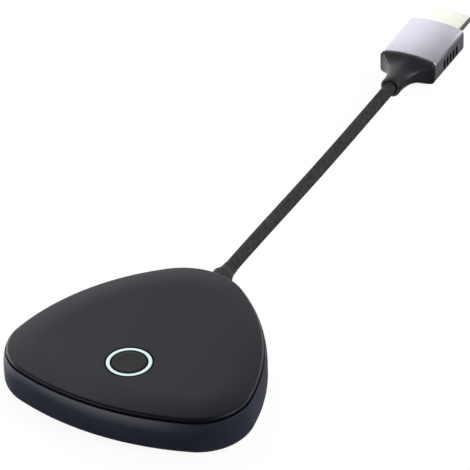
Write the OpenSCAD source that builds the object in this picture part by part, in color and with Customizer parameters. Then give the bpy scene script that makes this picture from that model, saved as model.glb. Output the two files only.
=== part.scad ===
// Wireless video transmitter: a rounded three-cornered body with a lit push button,
// and a short captive lead that ends in a video plug.
// Millimetres. +Z is up and +Y runs from the body towards the plug. The origin is on
// the surface that the object stands on, under the middle of the body.

/* [Body outline] */
// Width of the body across its two rear corners
body_w = 82; // [78:1:90]
// Length of the body from its back edge to its nose
body_l = 76; // [74:1:84]
// Radius of the nose, where the lead leaves
nose_r = 22; // [20:0.5:24]
// Radius of the two rear corners
corner_r = 17.5; // [16:0.5:19]
// Radius of the two long flanks
side_r = 73; // [68:1:85]
// Radius of the back edge
back_r = 90; // [80:1:110]

/* [Lower shell] */
// Height of the lower shell from its underside to its rim
base_h = 11.5; // [11:0.1:14]
// Thickness of the side wall
wall = 2.2; // [2:0.1:2.6]
// Thickness of the floor
floor_t = 1.8; // [1.6:0.1:2.2]
// Radius of the rounded bottom edge
base_round = 3; // [2:0.1:3.4]
// Width of the rounding on the rim
rim_round_w = 0.5; // [0.4:0.05:0.7]
// Height of the rounding on the rim
rim_round_h = 1.6; // [1:0.1:2.2]
// Flat left on top of the rim
rim_flat = 0.15; // [0.1:0.05:0.2]
// Width of the dark seam between rim and cover
seam_w = 0.35; // [0.2:0.05:0.4]
// Depth of that seam
seam_depth = 0.6; // [0.4:0.1:0.9]

/* [Top cover] */
// Thickness of the cover plate
cover_t = 1.6; // [1.3:0.1:1.8]
// Height of the cover's upright edge
cover_edge_h = 1; // [0.8:0.1:1.4]
// Radius from that edge to the top
cover_round = 0.9; // [0.6:0.1:1.1]
// Rise of the shallow dome
dome_rise = 1.2; // [0.8:0.1:1.5]
// Distance over which the dome rises
dome_run = 10.5; // [8:0.5:10.5]
// Thickness of the skirt that locates the cover in the shell
skirt_t = 1.2; // [1:0.1:1.4]
// Height of the skirt
skirt_h = 1.2; // [1:0.1:1.4]
// Clearance between skirt and wall
skirt_gap = 0.15; // [0.1:0.05:0.25]

/* [Feet and case screws] */
// Diameter of a rubber foot
foot_d = 10; // [8:0.5:10]
// Thickness of a foot
foot_t = 1.4; // [1.2:0.1:1.5]
// Height that a foot stands proud of the underside
foot_stand = 0.6; // [0.5:0.1:0.8]
// Clearance round a foot in its pocket
foot_gap = 0.1; // [0.05:0.05:0.2]
// Distance from the nose's centre to the front foot
front_foot_reach = 10; // [8:0.5:11]
// Distance from a rear corner's centre to its foot
rear_foot_reach = 8.8; // [7:0.1:9]
// Shank diameter of every screw
screw_d = 2; // [1.8:0.1:2]
// Head diameter of every screw
screw_head_d = 3.6; // [3.4:0.1:3.8]
// Head height of every screw
screw_head_h = 1.2; // [1:0.1:1.3]
// Width across the driver recess
driver_w = 1.9; // [1.6:0.1:2]
// Depth of the driver recess
driver_depth = 0.7; // [0.5:0.1:0.8]
// Clearance between a screw and the thread it has cut
thread_gap = 0.03; // [0.02:0.01:0.05]
// Clearance round a shank that passes through
shank_gap = 0.15; // [0.1:0.05:0.2]
// Clearance round a screw head
head_gap = 0.2; // [0.15:0.05:0.3]
// Shank length of a case screw
case_screw_l = 8; // [7:0.5:8]
// Depth of the counterbore for a case screw's head
case_screw_sink = 1.4; // [1.4:0.1:1.5]
// Diameter of a case screw's post
post_d = 5.6; // [5.2:0.1:5.8]
// Gap between the lower and the upper post
post_gap = 0.1; // [0.05:0.05:0.2]
// Height of a lower post above the floor
low_post_h = 4.6; // [4.4:0.1:5]
// Distance from a corner's centre to its case screw
corner_screw_reach = 9; // [8:0.5:9.5]
// Distance from the nose's centre to each front case screw
nose_screw_reach = 15.5; // [14.5:0.5:15.5]

/* [Button and light ring] */
// Distance from the back edge to the centre of the button
button_back = 21.7; // [20:0.1:26]
// Outer diameter of the light ring
ring_d = 14; // [13:0.1:16]
// Width of the light ring's lit face
ring_w = 1.2; // [0.8:0.1:1.4]
// Clearance round the light ring
ring_gap = 0.15; // [0.1:0.05:0.2]
// Step in radius between the lit face and the tube below it
pipe_step = 0.5; // [0.4:0.1:0.6]
// Width of the flange that holds the light ring under the cover
pipe_flange_w = 1.5; // [1.2:0.1:2]
// Thickness of that flange
pipe_flange_t = 1; // [0.8:0.1:1.2]
// Depth of the bore that guides the button's edge
pipe_guide_h = 2.4; // [2.2:0.1:2.6]
// Gap between the tube's end and the lamps
pipe_lamp_gap = 0.3; // [0.2:0.05:0.5]
// Running clearance round the button
button_gap = 0.15; // [0.1:0.05:0.25]
// Travel of the button
button_travel = 0.4; // [0.25:0.05:0.6]
// Gap between the button's collar and its stop
button_stop_gap = 0.03; // [0.02:0.01:0.08]
// Thickness of the button's disc
button_t = 1.4; // [1.2:0.1:1.6]
// Thickness of the button's skirt
button_skirt_t = 1; // [0.8:0.1:1.2]
// Height of the collar that keeps the button in
button_collar_h = 0.9; // [0.7:0.1:1]
// Diameter of the stem that works the switch
button_stem_d = 3; // [2.6:0.1:3.2]
// Chamfer on the button's top edge
button_chamfer = 0.15; // [0.1:0.05:0.3]

/* [Switch and ring lamps] */
// Width of the switch
switch_w = 6.2; // [5:0.1:6.4]
// Height of the switch's case
switch_h = 3.5; // [3:0.1:3.8]
// Diameter of the plunger
plunger_d = 3.4; // [3:0.1:3.6]
// Height of the plunger above the case
plunger_stand = 0.8; // [0.7:0.1:1]
// Length of the plunger inside the case
plunger_in = 1.2; // [1:0.1:1.4]
// Running clearance round the plunger
plunger_gap = 0.1; // [0.05:0.05:0.15]
// Width of a switch leg
switch_leg_w = 0.8; // [0.6:0.1:1]
// Number of lamps under the ring
lamp_count = 6; // [4:1:8]
// Length of a lamp
lamp_l = 1.6; // [1.2:0.1:2]
// Width of a lamp
lamp_w = 0.8; // [0.6:0.1:0.9]
// Height of a lamp
lamp_h = 0.6; // [0.5:0.05:0.7]

/* [Main board] */
// Thickness of the main board
board_t = 1.2; // [1:0.1:1.4]
// Distance from the body's outline to the board's edge
board_in = 3; // [2.8:0.1:4]
// Distance from the nose's tip to the board's front edge
board_nose_gap = 26; // [25:0.5:28]
// Height of the standoffs under the board
standoff_h = 2.2; // [2:0.1:2.4]
// Diameter of a standoff
standoff_d = 5; // [4.6:0.1:5.4]
// Shank length of a board screw
board_screw_l = 4; // [3:0.5:4]
// Clearance round a post that passes through the board
board_post_gap = 0.4; // [0.3:0.1:0.6]
// Places of the board's screws, as shares of half the body's width and length
board_screw_shares = [[-0.33, 0.16], [0.33, 0.16], [0, -0.82]];

/* [Chips and cooling] */
// Width of the processor
processor_w = 13; // [11:0.5:14]
// Height of the processor
processor_h = 1.4; // [1:0.1:1.6]
// Thickness of the thermal pad
pad_t = 0.5; // [0.4:0.1:0.8]
// Width of the heat sink
sink_w = 15; // [14:0.5:16]
// Thickness of the heat sink's base
sink_base_t = 1.1; // [1:0.1:1.4]
// Height of the fins
fin_h = 1.4; // [1.2:0.1:1.6]
// Thickness of a fin
fin_t = 0.9; // [0.7:0.1:1.1]
// Number of fins
fin_count = 6; // [4:1:6]
// Width of the video chip
video_chip_w = 8; // [7:0.5:9]
// Height of the video chip
video_chip_h = 1; // [0.8:0.1:1.2]
// Length of a memory chip
memory_l = 9; // [8:0.5:10]
// Width of a memory chip
memory_w = 6; // [5:0.5:7]
// Height of a memory chip
memory_h = 1; // [0.8:0.1:1.2]
// Width of a power coil
coil_w = 4; // [3.5:0.5:5]
// Height of a power coil
coil_h = 2.4; // [2:0.1:3]
// Diameter of a filter capacitor
capacitor_d = 4; // [3.5:0.5:4.5]
// Height of a filter capacitor
capacitor_h = 4.4; // [4:0.1:4.8]
// Length of the clock crystal
crystal_l = 3.2; // [2.5:0.1:3.6]
// Width of the clock crystal
crystal_w = 2.5; // [2:0.1:2.8]
// Height of the clock crystal
crystal_h = 0.8; // [0.6:0.1:1]
// Length of a small part
small_part_l = 1.6; // [1.2:0.1:1.8]
// Width of a small part
small_part_w = 0.8; // [0.6:0.1:1]
// Height of a small part
small_part_h = 0.6; // [0.5:0.1:0.8]
// Place of the processor, as shares of half the body's width and length
processor_shares = [-0.5, -0.24];
// Place of the video chip, in the same shares
video_chip_shares = [0, -0.02];
// Places of the memory chips, in the same shares
memory_shares = [[-0.24, -0.75], [-0.52, -0.6]];
// Places of the power coils, in the same shares
coil_shares = [[-0.48, 0.07], [-0.45, 0.22]];
// Places of the filter capacitors, in the same shares
capacitor_shares = [[-0.3, 0.02], [0.26, -0.02], [0.3, -0.8]];
// Place of the clock crystal, in the same shares
crystal_shares = [0.15, 0.06];
// Places of the rows of small parts, in the same shares
small_part_shares = [[-0.12, -0.18], [0.12, -0.18], [0.5, -0.62], [-0.61, 0.02], [0.4, -0.02]];
// Number of small parts in a row
small_part_count = 4; // [2:1:5]

/* [Radio] */
// Length of the radio's board
radio_l = 15; // [14:0.5:16]
// Width of the radio's board
radio_w = 12; // [11:0.5:12.5]
// Thickness of the radio's board
radio_t = 0.8; // [0.6:0.1:1]
// Margin of the radio's board round its shield
shield_margin = 1; // [0.8:0.1:1.5]
// Height of the shield
shield_h = 2; // [1.6:0.1:2.4]
// Thickness of the shield's sheet
shield_t = 0.2; // [0.15:0.05:0.3]
// Length of an antenna
antenna_l = 12; // [10:0.5:12]
// Height of an antenna
antenna_h = 4.3; // [4:0.1:4.5]
// Width of an antenna's top strip
antenna_w = 2.6; // [2:0.1:2.8]
// Thickness of the antenna's sheet
antenna_t = 0.4; // [0.3:0.05:0.5]
// Width of an antenna's leg
antenna_leg_w = 1.2; // [1:0.1:1.5]
// Place of the radio, as shares of half the body's width and length
radio_shares = [0.49, -0.27];
// Place of the antennas, in the same shares, the left one mirrored
antenna_shares = [0.72, -0.71];
// Turn of the antennas from square
antenna_turn = 32; // [20:1:40]

/* [Power socket] */
// Compass bearing of the socket on the left flank, from +Y
socket_bearing = 68; // [62:1:72]
// Width of the socket's metal shell
socket_w = 8.94; // [8.9:0.02:9]
// Height of the socket's metal shell
socket_h = 3.16; // [3.1:0.02:3.2]
// Length of the socket's metal shell
socket_l = 7.3; // [7:0.1:8]
// Thickness of the shell's sheet
socket_t = 0.3; // [0.25:0.05:0.35]
// Depth of the socket's mouth below the outer wall
socket_sink = 0.7; // [0.5:0.1:1]
// Clearance round the socket in the wall
socket_gap = 0.2; // [0.15:0.05:0.3]
// Width of the socket's tongue
tongue_w = 6.6; // [6.4:0.1:6.7]
// Thickness of the tongue
tongue_t = 0.7; // [0.6:0.05:0.8]
// Length of the tongue in front of its block
tongue_l = 4.6; // [4.4:0.1:4.8]
// Clearance of the tongue's block in the shell
tongue_gap = 0.02; // [0.01:0.01:0.05]

/* [Lead] */
// Outer diameter of the cable
cable_d = 4.2; // [3.8:0.1:4.4]
// Clearance round the cable where it is held
cable_gap = 0.05; // [0.03:0.01:0.1]
// Height of the cable's axis above the underside where it leaves the body
exit_h = 6; // [6:0.1:6.2]
// Length of the cable's jacket inside the nose
jacket_in = 15; // [14:0.5:15.5]
// Outer diameter of the strain relief
relief_d = 6.8; // [6.4:0.1:7]
// Length of the strain relief outside the body
relief_l = 11.5; // [10:0.5:13]
// Length of its straight part
relief_straight_l = 6; // [4:0.5:6]
// Wall of the strain relief at its thin end
relief_tip_t = 0.3; // [0.25:0.05:0.4]
// Depth of its seat in the outer wall
relief_seat = 0.8; // [0.6:0.1:0.8]
// Diameter of its neck through the wall
relief_neck_d = 5.4; // [5.3:0.1:5.6]
// Diameter of its flange inside the wall
relief_flange_d = 8; // [7.6:0.1:8.2]
// Thickness of that flange
relief_flange_t = 1.6; // [1.4:0.1:2]
// Thickness of the pad that the flange bears on
relief_pad_t = 2.6; // [2.4:0.1:3]
// Width of that pad
relief_pad_w = 10; // [9:0.5:12]
// Height of that pad above the hole through the wall
relief_pad_over = 0.3; // [0.2:0.1:0.3]
// Clearance round the neck
relief_gap = 0.1; // [0.05:0.05:0.15]

/* [Cable clamp and wiring] */
// Length of the clamp along the cable
clamp_l = 5; // [4.5:0.5:5]
// Width of the clamp
clamp_w = 18; // [17:0.5:18]
// Thickness of the clamp above the cable
clamp_t = 1; // [0.8:0.1:1.4]
// Gap left between clamp and seat
clamp_gap = 0.3; // [0.2:0.1:0.5]
// Distance from the nose's tip to the clamp's middle
clamp_nose_gap = 11; // [10.5:0.5:11.5]
// Distance of a clamp screw from the cable's axis
clamp_screw_x = 6.2; // [6:0.1:6.4]
// Shank length of a clamp screw
clamp_screw_l = 6; // [5:0.5:6]
// Diameter of one insulated wire
wire_d = 0.7; // [0.5:0.05:0.7]
// Spacing of the wires in the cable
wire_pack = 0.9; // [0.8:0.05:0.95]
// Spacing of the wires at the connector
wire_pitch = 1.5; // [1.4:0.1:1.6]
// Gap at each end of a wire, which keeps its slanted end clear of what it meets
wire_gap = 0.2; // [0.2:0.05:0.3]
// Number of wires shown in a row and in a column
wire_rows = 3; // [3:1:3]
// Length of the wires' housing
housing_l = 3.4; // [3:0.1:4]
// Height of the wires' housing
housing_h = 2.6; // [2.4:0.1:3]
// Wall of the wires' housing at its ends
housing_end = 0.9; // [0.7:0.1:1.2]
// Length of the header on the board
header_l = 4; // [3.5:0.1:4.5]
// Height of the header
header_h = 3.4; // [3:0.1:3.6]
// Distance from the board's front edge to the header
header_edge = 2.6; // [2:0.1:3]

/* [Plug] */
// Distance from the nose's tip to the end of the plug's boot
plug_start = 127; // [126:1:128]
// Width of the metal sleeve
sleeve_w = 20; // [19:0.5:22]
// Height of the metal sleeve
sleeve_h = 10.2; // [9.8:0.1:11]
// Length of the metal sleeve
sleeve_l = 22.6; // [22:0.2:24]
// Rise of the sleeve's crowned top and bottom
sleeve_crown = 1.4; // [1:0.1:1.8]
// Radius of the sleeve's edges
sleeve_round = 1.6; // [1.4:0.1:2]
// Wall of the sleeve
sleeve_t = 1.1; // [0.9:0.1:1.2]
// Number of slots in each side
slot_count = 5; // [3:1:6]
// Width of a slot
slot_w = 1.6; // [1:0.1:1.8]
// Height of a slot
slot_h = 3.5; // [2.8:0.1:3.8]
// Spacing of the slots
slot_pitch = 2.4; // [2:0.1:2.6]
// Distance from the sleeve's rear end to the first slot
slot_start = 6.4; // [5:0.1:7]
// Drop of the slots below the sleeve's middle
slot_drop = 0.9; // [0.6:0.1:1]
// Length of the boot from its end to its rim
boot_flare_l = 13.2; // [12:0.2:15]
// Thickness of the boot's rim behind the sleeve
boot_rim_t = 1.4; // [1.2:0.1:2]
// Length of the boot's spigot in the sleeve
boot_spigot_l = 3.5; // [3:0.1:4]
// Diameter of the boot's collar round the cable
collar_d = 7; // [6.6:0.1:7.2]
// Length of the collar
collar_l = 2.6; // [2:0.1:3]
// Chamfer round the collar's end
collar_chamfer = 0.4; // [0.2:0.1:0.5]
// Depth of the dark recess in the collar's mouth
collar_recess = 2; // [1.5:0.1:2.4]
// Clearance round the cable in that recess
collar_gap = 0.5; // [0.4:0.05:0.6]
// Clearance of what fits in the sleeve
sleeve_gap = 0.05; // [0.03:0.01:0.1]
// Thickness of the front bezel
bezel_t = 3; // [2.6:0.1:3.4]
// Depth of the bezel below the sleeve's front edge
bezel_sink = 0.3; // [0.2:0.1:0.5]

/* [Video connector] */
// Width of the connector's shell
shell_w = 13.9; // [13.8:0.05:14]
// Height of the connector's shell
shell_h = 4.45; // [4.4:0.01:4.5]
// Width of the shell's narrow side
shell_narrow_w = 10.5; // [10.3:0.1:10.7]
// Height of the shell's upright sides
shell_side_h = 2.5; // [2.3:0.1:2.6]
// Radius of the shell's edges
shell_round = 0.5; // [0.45:0.05:0.6]
// Length of the shell in front of the sleeve
shell_out = 11.9; // [11.5:0.1:12.2]
// Length of the shell inside the sleeve
shell_in = 10.6; // [10:0.1:11]
// Thickness of the shell's sheet
shell_t = 0.35; // [0.3:0.05:0.4]
// Width of a latch window in the shell's narrow side
latch_w = 2; // [1.8:0.1:2.2]
// Length of a latch window
latch_l = 2.6; // [2.2:0.1:2.8]
// Distance from the shell's mouth to the latch windows
latch_start = 3.6; // [3.2:0.1:4]
// Spacing of the two latch windows
latch_pitch = 6; // [5.6:0.1:6.4]
// Depth of the insulator's face inside the shell's mouth
insulator_sink = 0.9; // [0.7:0.1:1.2]
// Height of the insulator's slot
insulator_slot_h = 1.7; // [1.6:0.1:1.8]
// Width of the insulator's slot
insulator_slot_w = 10.6; // [10.4:0.1:10.7]
// Depth of the insulator's slot
insulator_slot_l = 8; // [7:0.5:9]
// Clearance round the insulator
insulator_gap = 0.05; // [0.03:0.01:0.08]
// Spacing of the contacts along one side
contact_pitch = 1; // [0.95:0.01:1]
// Number of contacts on the wide side
contact_count = 10; // [10:1:10]
// Width of a contact
contact_w = 0.45; // [0.4:0.05:0.5]
// Thickness of a contact
contact_t = 0.25; // [0.2:0.05:0.3]

/* [Plug inside] */
// Width of the plug's board
plug_board_w = 13; // [12:0.5:14]
// Length of the plug's board
plug_board_l = 7; // [6.5:0.1:7]
// Thickness of the plug's board
plug_board_t = 0.8; // [0.6:0.1:1]
// Length of the plug's chip
plug_chip_l = 3.6; // [3:0.1:4]
// Height of the plug's chip
plug_chip_h = 0.8; // [0.6:0.1:1]
// Length of the wires between the cable's jacket and the plug's board
plug_wire_l = 2; // [1.6:0.1:2.4]
// Length of the wires that lies on the plug's board
plug_solder_l = 1.5; // [1:0.1:1.5]
// Length of the ferrule crimped on the jacket
ferrule_l = 4; // [3:0.1:4]
// Wall of the ferrule
ferrule_t = 0.5; // [0.4:0.05:0.6]

/* [Hidden] */

$fn = 72;
// Overrun of every cut
cut = 0.5;

// Heights in the body
base_z = foot_stand;
floor_z = base_z + floor_t;
rim_z = base_z + base_h;
land_z = rim_z - seam_depth;
edge_z = land_z + cover_edge_h;
shoulder_z = edge_z + cover_round;
top_z = shoulder_z + dome_rise;
ceiling_z = top_z - cover_t;
board_z = floor_z + standoff_h;
board_top = board_z + board_t;
exit_z = base_z + exit_h;

// Insets from the body's outline
seam_in = rim_round_w + rim_flat;
cover_in = seam_in + seam_w;
shoulder_in = cover_in + cover_round;
skirt_in = wall + skirt_gap;
hollow_in = skirt_in + skirt_t;

// The outline is six arcs that share tangents: nose, flanks, rear corners and back.
// Each is given by its centre, its radius and the compass bearings of its ends.
function dir(bearing) = [sin(bearing), cos(bearing)];
function bearing(v) = atan2(v[0], v[1]);
nose_y = body_l / 2;
back_y = -body_l / 2;
nose_c = [0, nose_y - nose_r];
back_c = [0, back_y + back_r];
corner_x = body_w / 2 - corner_r;
corner_c = [corner_x, back_c[1] - sqrt(pow(back_r - corner_r, 2) - pow(corner_x, 2))];
flank_v = corner_c - nose_c;
flank_d = norm(flank_v);
flank_u = flank_v / flank_d;
flank_a = (pow(side_r - nose_r, 2) - pow(side_r - corner_r, 2) + pow(flank_d, 2)) / (2 * flank_d);
flank_h = sqrt(pow(side_r - nose_r, 2) - pow(flank_a, 2));
side_c = nose_c + flank_a * flank_u + flank_h * [flank_u[1], -flank_u[0]];
side_from = bearing(nose_c - side_c);
side_to = bearing(corner_c - side_c);
corner_to = bearing(corner_c - back_c);
nose_steps = 10;
side_steps = 10;
corner_steps = 14;
back_steps = 9;
// Points of an arc, without its last one
function arc(c, r, from, to, steps) =
    [for (i = [0:steps - 1]) c + r * dir(from + (to - from) * i / steps)];
function right_half(inset) = concat(
    arc(nose_c, nose_r - inset, 0, side_from, nose_steps),
    arc(side_c, side_r - inset, side_from, side_to, side_steps),
    arc(corner_c, corner_r - inset, side_to, corner_to, corner_steps),
    arc(back_c, back_r - inset, corner_to, 180, back_steps));
function outline(inset) =
    let (half = right_half(inset), n = len(half))
    concat(half, [[0, back_y + inset]], [for (i = [n - 1:-1:1]) [-half[i][0], half[i][1]]]);

// Steps of the roundings, in degrees from the upright side
base_round_steps = [90, 70, 50, 30, 12, 0];
rim_round_steps = [0, 25, 50, 70, 90];
cover_round_steps = [0, 25, 50, 75];

// Dome of the cover: height at a share of its run
dome_shares = [0.12, 0.28, 0.46, 0.7, 1];
function dome_z(share) = shoulder_z + dome_rise * (1 - pow(1 - min(share, 1), 2));
hollow_share = (hollow_in - shoulder_in) / dome_run;

// Places of feet and case screws on the right, mirrored to the left
front_foot = nose_c + front_foot_reach * dir(0);
rear_foot_bearing = 192;
corner_screw_bearing = 72;
nose_screw_bearing = 75;
rear_foot = corner_c + rear_foot_reach * dir(rear_foot_bearing);
corner_screw = corner_c + corner_screw_reach * dir(corner_screw_bearing);
nose_screw = nose_c + nose_screw_reach * dir(nose_screw_bearing);
feet = [front_foot, rear_foot, [-rear_foot[0], rear_foot[1]]];
case_screw_places = [corner_screw, nose_screw, [-corner_screw[0], corner_screw[1]],
                     [-nose_screw[0], nose_screw[1]]];
low_post_z = floor_z + low_post_h;
case_head_z = base_z + case_screw_sink;
case_screw_end = case_head_z + case_screw_l;

// Button stack, from the top down
button_y = back_y + button_back;
ring_r = ring_d / 2;
button_bore_r = ring_r - ring_w;
pipe_r = ring_r + pipe_step;
pipe_bore_r = button_bore_r + pipe_step;
stop_z = top_z - pipe_guide_h;
button_r = button_bore_r - button_gap;
button_collar_z = stop_z - button_stop_gap;
switch_top = board_top + switch_h;
plunger_top = switch_top + plunger_stand;
plunger_z = switch_top - plunger_in;
well_z = plunger_z - button_travel - plunger_gap;
pipe_end_z = board_top + lamp_h + pipe_lamp_gap;

// Board and its parts
board_front = nose_y - board_nose_gap;
function place(shares) = [shares[0] * body_w / 2, shares[1] * body_l / 2];

// Strain relief, clamp and wires, along Y
relief_seat_y = nose_y - relief_seat;
relief_end_y = nose_y + relief_l;
pad_y = nose_y - wall - relief_pad_t;
jacket_y = nose_y - jacket_in;
clamp_y = nose_y - clamp_nose_gap;
header_y = board_front - header_edge - header_l;
housing_y = header_y + header_l;
wire_total = wire_rows * wire_rows;
housing_w = (wire_total - 1) * wire_pitch + wire_d + 2 * housing_end;
wire_z = board_top + housing_h / 2;
clamp_top = exit_z + cable_d / 2 + clamp_t;
relief_shares = [0, 0.2, 0.4, 0.6, 0.8, 1];
relief_hole_d = relief_neck_d + 2 * relief_gap;
relief_pad_top = exit_z + relief_hole_d / 2 + relief_pad_over;
held_d = cable_d + 2 * cable_gap;
ferrule_d = held_d + 2 * ferrule_t;

// Plug, along Y
boot_y = nose_y + plug_start;
collar_y = boot_y + collar_l;
rim_y = boot_y + boot_flare_l;
sleeve_y = rim_y + boot_rim_t;
sleeve_front = sleeve_y + sleeve_l;
spigot_y = sleeve_y + boot_spigot_l;
cable_end_y = boot_y + collar_recess;
plug_z = sleeve_h / 2;
mouth_y = sleeve_front + shell_out;
shell_y = sleeve_front - shell_in;
bezel_front = sleeve_front - bezel_sink;
bezel_y = bezel_front - bezel_t;
insulator_front = mouth_y - insulator_sink;
slot_bottom_y = insulator_front - insulator_slot_l;
plug_board_y = shell_y - plug_board_l;
plug_board_mid = plug_board_y + plug_board_l / 2;
plug_jacket_end = plug_board_y - plug_wire_l;

// Cross-section of the sleeve: crowned top and bottom, upright sides, rounded edges
crown_r = (pow(sleeve_w / 2, 2) + pow(sleeve_crown, 2)) / (2 * sleeve_crown);
crown_c = sleeve_h / 2 - crown_r;
edge_x = sleeve_w / 2 - sleeve_round;
edge_c = [edge_x, crown_c + sqrt(pow(crown_r - sleeve_round, 2) - pow(edge_x, 2))];
crown_to = bearing(edge_c - [0, crown_c]);
crown_steps = 8;
edge_steps = 6;
function sleeve_quarter(inset) = concat(
    arc([0, crown_c], crown_r - inset, 0, crown_to, crown_steps),
    arc(edge_c, sleeve_round - inset, crown_to, 90, edge_steps),
    [edge_c + (sleeve_round - inset) * dir(90)]);
function sleeve_outline(inset) =
    let (q = sleeve_quarter(inset), n = len(q))
    concat(q, [for (i = [n - 1:-1:0]) [q[i][0], -q[i][1]]],
           [for (i = [1:n - 1]) [-q[i][0], -q[i][1]]], [for (i = [n - 1:-1:1]) [-q[i][0], q[i][1]]]);

// Flare of the boot: its section turns from a circle at the collar into the sleeve's
// outline at the rim, along a curve that is part straight and part late opening.
flare_steps = 12;
flare_straight_share = 0.2;
flare_power = 3;
function flare(share) = flare_straight_share * share + (1 - flare_straight_share) * pow(share, flare_power);
function boot_ring(share, y, d = collar_d) =
    [for (p = sleeve_outline(0))
        let (q = share * p + (1 - share) * d / 2 * dir(bearing(p)))
        [q[0], y, plug_z + q[1]]];

// Place of item i in a row of n, counted from the row's middle
function middle(i, n) = i - (n - 1) / 2;

// Outline of the video connector: a wide side above, a narrow side below, every corner
// rounded about one centre at each inset
shell_steps = 4;
shell_x = shell_w / 2;
shell_z = shell_h / 2;
narrow_x = shell_narrow_w / 2;
side_low = shell_z - shell_side_h;
shell_points = [[-shell_x, shell_z], [shell_x, shell_z], [shell_x, side_low], [narrow_x, -shell_z],
                [-narrow_x, -shell_z], [-shell_x, side_low]];
function unit(v) = v / norm(v);
function outward(v) = [-v[1], v[0]];
function corner_arc(a, b, c, inset) =
    let (to_a = unit(a - b), to_c = unit(c - b), half = acos(to_a * to_c) / 2,
         centre = b + unit(to_a + to_c) * shell_round / sin(half),
         from = bearing(outward(b - a)), turn = (bearing(outward(c - b)) - from + 360) % 360)
    [for (i = [0:shell_steps]) centre + (shell_round - inset) * dir(from + turn * i / shell_steps)];
function d_outline(inset) =
    let (n = len(shell_points))
    [for (i = [0:n - 1])
        each corner_arc(shell_points[(i + n - 1) % n], shell_points[i], shell_points[(i + 1) % n], inset)];

// Route of the free cable from the strain relief to the boot. The short stiff lead
// spans the gap with a slight sag.
cable_route = [[0, 49.5, 6.6], [0, 54, 6.58], [0, 60, 6.5], [0, 68, 6.34], [0, 76, 6.12], [0, 84, 5.88],
               [0, 92, 5.64], [0, 100, 5.44], [0, 108, 5.26], [0, 116, 5.12], [0, 124, 5.04],
               [0, 132, 5], [0, 140, 5], [0, 148, 5.02], [0, 155, 5.06], [0, 162, 5.1], [0, 167, 5.1]];
cable_sides = 12;
route_n = len(cable_route);
function along(route, i) = unit(route[min(i + 1, len(route) - 1)] - route[max(i - 1, 0)]);
// The ends stand square to what they meet
function cable_dir(i) = i == 0 || i == route_n - 1 ? [0, 1, 0] : along(cable_route, i);
function cable_ring(i) =
    let (up = cross([1, 0, 0], cable_dir(i)))
    [for (k = [0:cable_sides - 1])
        let (a = 360 * k / cable_sides)
        cable_route[i] + cable_d / 2 * (cos(a) * [1, 0, 0] + sin(a) * up)];

// A closed solid through a row of rings with as many points each. A ring runs clockwise
// where the next ring is nearer to the eye.
module skin(rings) {
    n = len(rings[0]);
    last = (len(rings) - 1) * n;
    sides = [for (j = [0:len(rings) - 2]) for (i = [0:n - 1])
        let (k = (i + 1) % n) [j * n + i, j * n + k, (j + 1) * n + k, (j + 1) * n + i]];
    polyhedron([for (r = rings) for (p = r) p],
               concat(sides, [[for (i = [n - 1:-1:0]) i]], [[for (i = [0:n - 1]) last + i]]));
}

// A closed solid through a stack of the body's outlines, each given as [inset, height]
module loft(levels) {
    skin([for (level = levels) [for (p = outline(level[0])) [p[0], p[1], level[1]]]]);
}

module body_prism(inset, z0, z1) {
    translate([0, 0, z0])
        linear_extrude(z1 - z0)
            polygon(outline(inset));
}

// A shape drawn in X and Z, extruded along Y from y0 to y1
module along_y(y0, y1) {
    translate([0, y1, 0])
        rotate([90, 0, 0])
            linear_extrude(y1 - y0)
                children();
}

module rod_y(d, y0, y1, z, x = 0) {
    translate([x, y0, z])
        rotate([-90, 0, 0])
            cylinder(d = d, h = y1 - y0);
}

// A straight round wire between two points
module wire(from, to, d) {
    v = to - from;
    translate(from)
        rotate([0, acos(v[2] / norm(v)), atan2(v[1], v[0])])
            cylinder(d = d, h = norm(v));
}

module block(size, at = [0, 0, 0]) {
    translate([at[0] - size[0] / 2, at[1] - size[1] / 2, at[2]])
        cube(size);
}

module on_board(shares, z = board_top) {
    translate([place(shares)[0], place(shares)[1], z])
        children();
}

// A flat slot with round ends, in its own plane
module slot_shape(w, h) {
    square([w - h, h], center = true);
    for (side = [-1, 1])
        translate([side * (w - h) / 2, 0])
            circle(d = h);
}

// Screw standing on its head's underside at z 0, with its shank pointing up
module screw(shank_l) {
    difference() {
        union() {
            translate([0, 0, -screw_head_h])
                cylinder(d = screw_head_d, h = screw_head_h);
            cylinder(d = screw_d, h = shank_l);
        }
        translate([0, 0, -screw_head_h - cut])
            linear_extrude(driver_depth + cut)
                for (turn = [0, 90])
                    rotate(turn)
                        square([driver_w, driver_w / 4], center = true);
    }
}

// The same screw with its head on top at height z
module screw_down(at, z, shank_l) {
    translate([at[0], at[1], z])
        mirror([0, 0, 1])
            screw(shank_l);
}

// Frame of the power socket: X across its mouth, Y out of the body, Z up from its axis
module at_socket() {
    translate([-side_c[0], side_c[1], board_top + socket_h / 2])
        rotate([0, 0, socket_bearing])
            translate([0, side_r, 0])
                children();
}

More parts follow.
